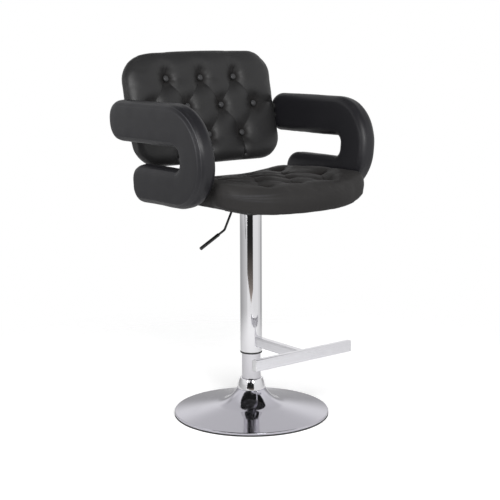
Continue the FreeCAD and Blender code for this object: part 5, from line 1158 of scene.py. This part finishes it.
def arm_outline(inset):
    """The loop's side view inside its edge by an inset: outer corners tighten, inner ones widen."""
    spots = np.array([corner[:2] for corner in ARM_CORNERS])
    kinds = np.array([corner[3] for corner in ARM_CORNERS])
    before = unit(np.roll(spots, 1, axis=0) - spots)
    after = unit(np.roll(spots, -1, axis=0) - spots)
    spots = spots + kinds[:, None] * (before + after) * inset
    radii = [max(corner[2] - kind * inset, 0.0005) for corner, kind in zip(ARM_CORNERS, kinds)]
    return rounded(np.column_stack([spots, radii]), 20, 28)


def arm_world(spots, t, side):
    """Side view (y, z) and thickness t to world, leaning outwards by 4.2 degrees."""
    a, b = math.cos(ARM_LEAN), math.sin(ARM_LEAN)
    rise = spots[..., 1] - ARM_REFERENCE
    x = side * (ARM_CENTRE + rise * b) + t * a
    z = ARM_REFERENCE + rise * a - side * t * b
    return np.stack(np.broadcast_arrays(x, spots[..., 0], z), -1)


ARM_EDGE = 0.020
ARM_SEAMS = (math.radians(42), math.radians(71))


def arm_section():
    """The loop's cross-section as (inset, t), from its inner face over the band to its outer face.

    A quarter circle of 20 mm joins each crowned face to the band: inset = r (1 - cos v),
    t = half - r + r sin v. Two sewn rows lie at fixed angles on the outer quarter circle.
    """
    half = ARM_THICKNESS / 2
    crown = [(0.039, 0.0004), (0.034, 0.0004), (0.030, 0.00035), (0.026, 0.0002), (0.023, 0.0001)]
    inner = [(inset, -half - rise) for inset, rise in crown]
    turn = np.radians(np.linspace(90, 0, 17))
    inner += [(ARM_EDGE * (1 - math.cos(v)), -half + ARM_EDGE * (1 - math.sin(v))) for v in turn]
    band = [(0.0, t) for t in (-0.004, -0.002, 0.0, 0.002, 0.004)]
    lower, upper = ARM_SEAMS
    spread = np.radians([-4.4, -3.2, -2.2, -1.4, -0.7, 0, 0.7, 1.4, 2.2, 3.2, 4.4])
    even = np.radians(np.linspace(0, 90, 13))
    angles = np.sort(np.concatenate([even, lower + spread, upper + spread]))
    gap = np.minimum(np.abs(angles - lower), np.abs(angles - upper)) * ARM_EDGE
    relief = 0.0004 * np.exp(-(gap / 0.0009) ** 2)
    reach = ARM_EDGE + relief
    outer = list(zip(ARM_EDGE - reach * np.cos(angles), half - ARM_EDGE + reach * np.sin(angles)))
    outer += [(inset, half + rise) for inset, rise in crown[::-1]]
    return inner + band + outer


def arm_pad(side, name, node):
    """One padded arm: rings of the side view at each (inset, t) of the section, over and back."""
    section = arm_section()
    rings = np.array([arm_world(arm_outline(inset), t * side, side) for inset, t in section])
    count = rings.shape[1]
    mesh = mesh_from(rings, grid_faces(len(section), count), end_rings(section, count))
    smooth(mesh, 60)
    points = vertex_array(mesh)
    normals = normal_array(mesh)
    ripple = 0.0004 * waves(points, 0.07, 31 + (side > 0))
    ripple = ripple + 0.0005 * waves(points * [1, 0.25, 0.25], 0.03, 51)
    slot = ease(0.012, 0.0, np.abs(points[:, 2] - 0.731)) * ease(-0.075, -0.05, points[:, 1])
    slot *= ease(0.3, 0.8, -normals[:, 2])
    pucker = waves(points * [0.2, 1, 0.2], 0.016, 41 + (side > 0))
    pucker = 0.0008 * np.maximum(pucker, 0) * slot
    set_vertices(mesh, points + normals * (ripple + pucker)[:, None])
    rise = points[:, 2] - ARM_REFERENCE
    t = (points[:, 0] * side - ARM_CENTRE) * math.cos(ARM_LEAN) - rise * math.sin(ARM_LEAN)
    rows = [ARM_THICKNESS / 2 - ARM_EDGE + ARM_EDGE * math.sin(v) for v in ARM_SEAMS]
    line = np.exp(-((t - rows[0]) / 0.0007) ** 2) + np.exp(-((t - rows[1]) / 0.0004) ** 2)
    # Painted highlight: the seam rows get the lighter ridge tone, strongest at the top front of the
    # loop where the lamps catch them and faded out near the slot.
    painted_highlight = 0.12 + 0.88 * ease(-0.06, -0.13, points[:, 1]) * ease(0.66, 0.76, points[:, 2])
    past_slot = np.maximum(np.maximum(points[:, 2] - 0.752, 0.655 - points[:, 2]),
                           -0.096 - points[:, 1])
    painted_highlight *= ease(0.0, 0.012, past_slot)
    mark(mesh, "ridge", np.clip(line, 0, 1) * painted_highlight)
    return finished(new_object(name, mesh), "seat", [node], arm_skin, crease=60)


arm_pad(1, "left_arm_padded", "left_arm_pad")
arm_pad(-1, "right_arm_padded", "right_arm_pad")


# Dust cloth under the seat.

def dust_sheet():
    """The cloth stapled under the frame: rings from the frame's edge in to the plate's opening.

    Each ring is outer (1 - s) + inner s; the cloth follows the saddle and dimples by 0.4 mm
    between its staples.
    """
    steps, staples, hem, corner, gap = 26, 44, 0.0125, 0.014, 0.0003
    outer = evenly(seat_outline(hem), 320)
    half_x, half_y = np.array(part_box("mount_plate")[1][:2]) + gap
    inner = rounded([(-half_x, -half_y, corner), (half_x, -half_y, corner),
                     (half_x, half_y, corner), (-half_x, half_y, corner)], 8, 30)
    turn = np.arctan2(outer[:, 1] + 0.03, outer[:, 0])
    inner_turn = np.arctan2(inner[:, 1], inner[:, 0])
    matched = np.stack([np.interp(turn, inner_turn, inner[:, axis], period=2 * math.pi)
                        for axis in range(2)], -1)
    shares = np.linspace(0, 1, steps)[:, None, None]
    spots = outer * (1 - shares) + matched * shares
    staple = np.arange(len(outer)) / len(outer) * staples
    sag = 0.0004 * np.abs(np.sin(math.pi * staple)) * np.exp(-shares[..., 0] / 0.06)
    height = saddle(spots[..., 0]) + 0.0006 - sag * 0.9
    points = np.concatenate([spots, height[..., None]], -1)
    thing = new_object("seat_dust_cloth", mesh_from(points, grid_faces(steps, len(outer))))
    return finished(thing, "seat", ["seat_dust_cover"], dust_cloth)


dust_sheet()


# Studio.

def stage_card(name, points, tones):
    """A grid of points with a tone at each, which only mirrors see."""
    rows, columns = points.shape[:2]
    mesh = bpy.data.meshes.new(name)
    faces = grid_faces(rows, columns, wrap_columns=False)
    mesh.from_pydata(points.reshape(-1, 3).tolist(), [], faces.tolist())
    kept = mesh.attributes.new("tone", "FLOAT_COLOR", "POINT")
    colors = np.concatenate([tones, np.ones((rows, columns, 1))], -1)
    kept.data.foreach_set("color", colors.ravel().astype(np.float32))
    card = new_object(name, mesh)
    made = bpy.data.materials.new(name)
    made.use_nodes = True
    tree = made.node_tree
    tree.nodes.remove(tree.nodes["Principled BSDF"])
    glow = add(tree, "ShaderNodeEmission", {"Strength": 1.0})
    tone = add(tree, "ShaderNodeAttribute", attribute_name="tone", attribute_type="GEOMETRY")
    tree.links.new(tone.outputs["Color"], glow.inputs["Color"])
    tree.links.new(glow.outputs[0], tree.nodes["Material Output"].inputs["Surface"])
    mesh.materials.append(made)
    card.visible_camera = False
    card.visible_diffuse = False
    card.visible_shadow = False
    card.visible_transmission = False
    return card


CAMERA_TURN = -0.668253954
CAMERA_TILT = 0.175838622
CAMERA_ROLL = -0.00367383
CAMERA_PLACE = (-1.9512, -2.4716, 1.0008)


def bearing(angle, distance, height):
    """Points round the column: the angle is measured from the camera's side, left positive."""
    way = math.atan2(CAMERA_PLACE[1], CAMERA_PLACE[0]) - angle
    spots = np.broadcast_arrays(distance * np.cos(way), distance * np.sin(way), height)
    return np.stack(spots, -1)


def front_card():
    """The dark room behind the photographer, past the white floor's edge: its lower edge is bowed,
    and it lightens and browns towards that edge by exp(-z / 75 mm)."""
    angle = np.linspace(-0.38, 0.68, 40)[:, None]
    foot = 0.016 + 0.17 * np.maximum(np.abs(angle + 0.02) - 0.03, 0) ** 1.15
    height = foot + (0.60 - foot) * np.linspace(0, 1, 40) ** 1.5
    glow = 0.36 * np.exp(-np.maximum(height - 0.035, 0) / 0.075)[..., None]
    tones = 0.016 + glow * np.array([1.10, 0.95, 0.84])
    stage_card("front_card", bearing(angle, 1.34, height), tones)


CANOPY_EDGE = ((-180, 54), (-148, 58), (-128, 58), (-105, 55), (-80, 44), (-62, 36), (-45, 31),
               (42, 30), (57, 33), (77, 48), (95, 59), (120, 66), (145, 63), (180, 54))


def side_wall():
    """Grey surroundings at the sides and behind, up to the canopy's edge: lighter in front,
    darker towards the column's edges as the camera sees them, nearly white above, with a veil
    high up behind that the dish's front mirrors."""
    angle = np.linspace(0.69, 2 * math.pi - 0.40, 140)[:, None]
    signed = np.degrees(np.where(angle > math.pi, angle - 2 * math.pi, angle))
    left = 0.80 - 0.36 * np.clip((signed - 36) / 84, 0, 1)
    right = 0.95 - 0.12 * ease(70, 95, -signed) - 0.36 * ease(100, 126, -signed)
    level = np.where(signed > 0, left, right)
    edge = np.interp(signed, *np.array(CANOPY_EDGE, float).T)
    height = -0.40 + (0.38 + 1.9 * np.tan(np.radians(edge))) * np.linspace(0, 1, 90)
    posts = 0.34 * np.exp(-((signed - 143) / 9) ** 2) * ease(1.5, 0.9, height)
    posts = posts + 0.30 * np.exp(-((signed + 137) / 8) ** 2) * ease(1.0, 0.5, height)
    level = np.minimum(level + (1 - level) * ease(0.24, 0.70, height), 1 - posts)
    veil = ease(0.75, 1.15, height) * ease(80, 130, np.abs(signed))
    level = level * (1 - (0.25 - 0.10 * ease(170, 120, -signed) * (signed < 0)) * veil)
    stage_card("side_wall", bearing(angle, 1.9, height), np.repeat(level[..., None], 3, -1))


def dark_canopy():
    """The dark upper studio: part of a sphere of 2.9 m round the base, above an edge given as
    (bearing, elevation) in degrees, low in front and high at the sides."""
    angle = np.linspace(-180, 180, 145)[:, None]
    edge = np.interp(angle, *np.array(CANOPY_EDGE, float).T)
    rise = np.radians(edge + (86 - edge) * np.linspace(0, 1, 16))
    points = bearing(np.radians(angle), 2.9 * np.cos(rise), 2.9 * np.sin(rise))
    stage_card("dark_canopy", points, np.full(points.shape, 0.012))


def tripod_card():
    """The photographer's dark stand, a narrow wedge in front of the base."""
    share = np.linspace(0, 1, 12)
    angle = np.linspace(-0.46, 0.46, 9)[:, None] * (1 - 0.92 * share)
    points = bearing(angle, 2.6, 0.60 + 1.0 * share + 0 * angle)
    stage_card("tripod_card", points, np.full(points.shape, 0.03))


front_card()
side_wall()
dark_canopy()
tripod_card()


def studio_floor():
    """A pale floor that fades into the white background round the object, so that it keeps only
    the object's shadow: its alpha falls from 1 to 0 between two distances from the column."""
    mesh = bpy.data.meshes.new("floor")
    radius, turn = 2.2, full_turn(96)
    points = np.stack([radius * np.cos(turn), radius * np.sin(turn), 0 * turn], -1)
    mesh.from_pydata(points.tolist(), [], [tuple(range(len(turn)))])
    floor = new_object("floor", mesh)
    made, tree, shader = material("floor_white", (0.93, 0.93, 0.93), 0.9)
    shader.inputs["Specular IOR Level"].default_value = 0.0
    shader.inputs["Emission Color"].default_value = (1.0, 1.0, 1.0, 1.0)
    path = tree.nodes.new("ShaderNodeLightPath")
    lift = math_node(tree, "MULTIPLY", path.outputs["Is Camera Ray"], 0.34)
    tree.links.new(lift, shader.inputs["Emission Strength"])
    place = add(tree, "ShaderNodeTexCoord")
    away = add(tree, "ShaderNodeVectorMath", operation="LENGTH")
    fade = add(tree, "ShaderNodeMapRange",
               {"From Min": 0.55, "From Max": 1.3, "To Min": 1.0, "To Max": 0.0},
               interpolation_type="SMOOTHSTEP")
    join(tree, (place, "Object", away, 0), (away, "Value", fade, "Value"),
         (fade, "Result", shader, "Alpha"))
    mesh.materials.append(made)


studio_floor()


def soft_light(name, place, aim, size, power):
    """A white area lamp at a place, turned towards its aim."""
    lamp = bpy.data.lights.new(name, "AREA")
    lamp.shape = "RECTANGLE"
    lamp.size, lamp.size_y = size
    lamp.energy = power
    thing = bpy.data.objects.new(name, lamp)
    bpy.context.scene.collection.objects.link(thing)
    away = np.array(place, float) - np.array(aim, float)
    away /= np.linalg.norm(away)
    side = np.cross([0, 0, 1], away)
    side /= np.linalg.norm(side)
    rise = np.cross(away, side)
    turn = Matrix(np.column_stack([side, rise, away]).tolist()).to_4x4()
    thing.matrix_world = Matrix.Translation([float(v) for v in place]) @ turn


soft_light("overhead", (-0.4, -0.3, 3.2), (0, -0.1, 0.3), (2.4, 2.4), 32)
soft_light("key", (-1.46, -2.96, 2.0), (0, 0, 0.75), (1.2, 1.2), 98)
soft_light("left_fill", (-3.1, -0.2, 1.0), (0, 0, 0.75), (1.3, 1.4), 30)
soft_light("front", (0.8, -3.2, 1.9), (0, 0, 0.6), (2.0, 1.6), 22)


def studio_world():
    """White for the camera, mirrors and clear materials, and a calmer level for diffuse light."""
    world = bpy.data.worlds.new("studio_world")
    bpy.context.scene.world = world
    world.use_nodes = True
    tree = world.node_tree
    tree.nodes.clear()
    path = tree.nodes.new("ShaderNodeLightPath")
    seen = math_node(tree, "MAXIMUM", path.outputs["Is Camera Ray"], path.outputs["Is Glossy Ray"])
    seen = math_node(tree, "MAXIMUM", seen, path.outputs["Is Transmission Ray"])
    calm = add(tree, "ShaderNodeBackground", {"Color": (1.0, 1.0, 1.0, 1.0), "Strength": 0.32})
    white = add(tree, "ShaderNodeBackground", {"Color": (1.0, 1.0, 1.0, 1.0), "Strength": 1.0})
    mix = tree.nodes.new("ShaderNodeMixShader")
    out = tree.nodes.new("ShaderNodeOutputWorld")
    tree.links.new(seen, mix.inputs[0])
    tree.links.new(calm.outputs[0], mix.inputs[1])
    tree.links.new(white.outputs[0], mix.inputs[2])
    tree.links.new(mix.outputs[0], out.inputs["Surface"])


studio_world()


def photo_camera():
    """The camera fitted to the photo: turned about Z, tilted down, with a slight roll."""
    turn, tilt, roll = CAMERA_TURN, CAMERA_TILT, CAMERA_ROLL
    right = np.array([math.cos(turn), math.sin(turn), 0.0])
    level = np.array([-math.sin(turn), math.cos(turn), 0.0])
    up_axis = np.array([0.0, 0.0, 1.0])
    forward = level * math.cos(tilt) - up_axis * math.sin(tilt)
    up = up_axis * math.cos(tilt) + level * math.sin(tilt)
    rolled_right = right * math.cos(roll) + up * math.sin(roll)
    rolled_up = -right * math.sin(roll) + up * math.cos(roll)
    lens = bpy.data.cameras.new("photo_camera")
    lens.lens = 87.97
    lens.sensor_width = 36.0
    lens.shift_x = -0.0017
    lens.clip_start = 0.05
    lens.clip_end = 60.0
    thing = bpy.data.objects.new("photo_camera", lens)
    bpy.context.scene.collection.objects.link(thing)
    facing = Matrix(np.column_stack([rolled_right, rolled_up, -forward]).tolist()).to_4x4()
    thing.matrix_world = Matrix.Translation(CAMERA_PLACE) @ facing
    bpy.context.scene.camera = thing


photo_camera()
bpy.context.scene.view_settings.view_transform = "Standard"
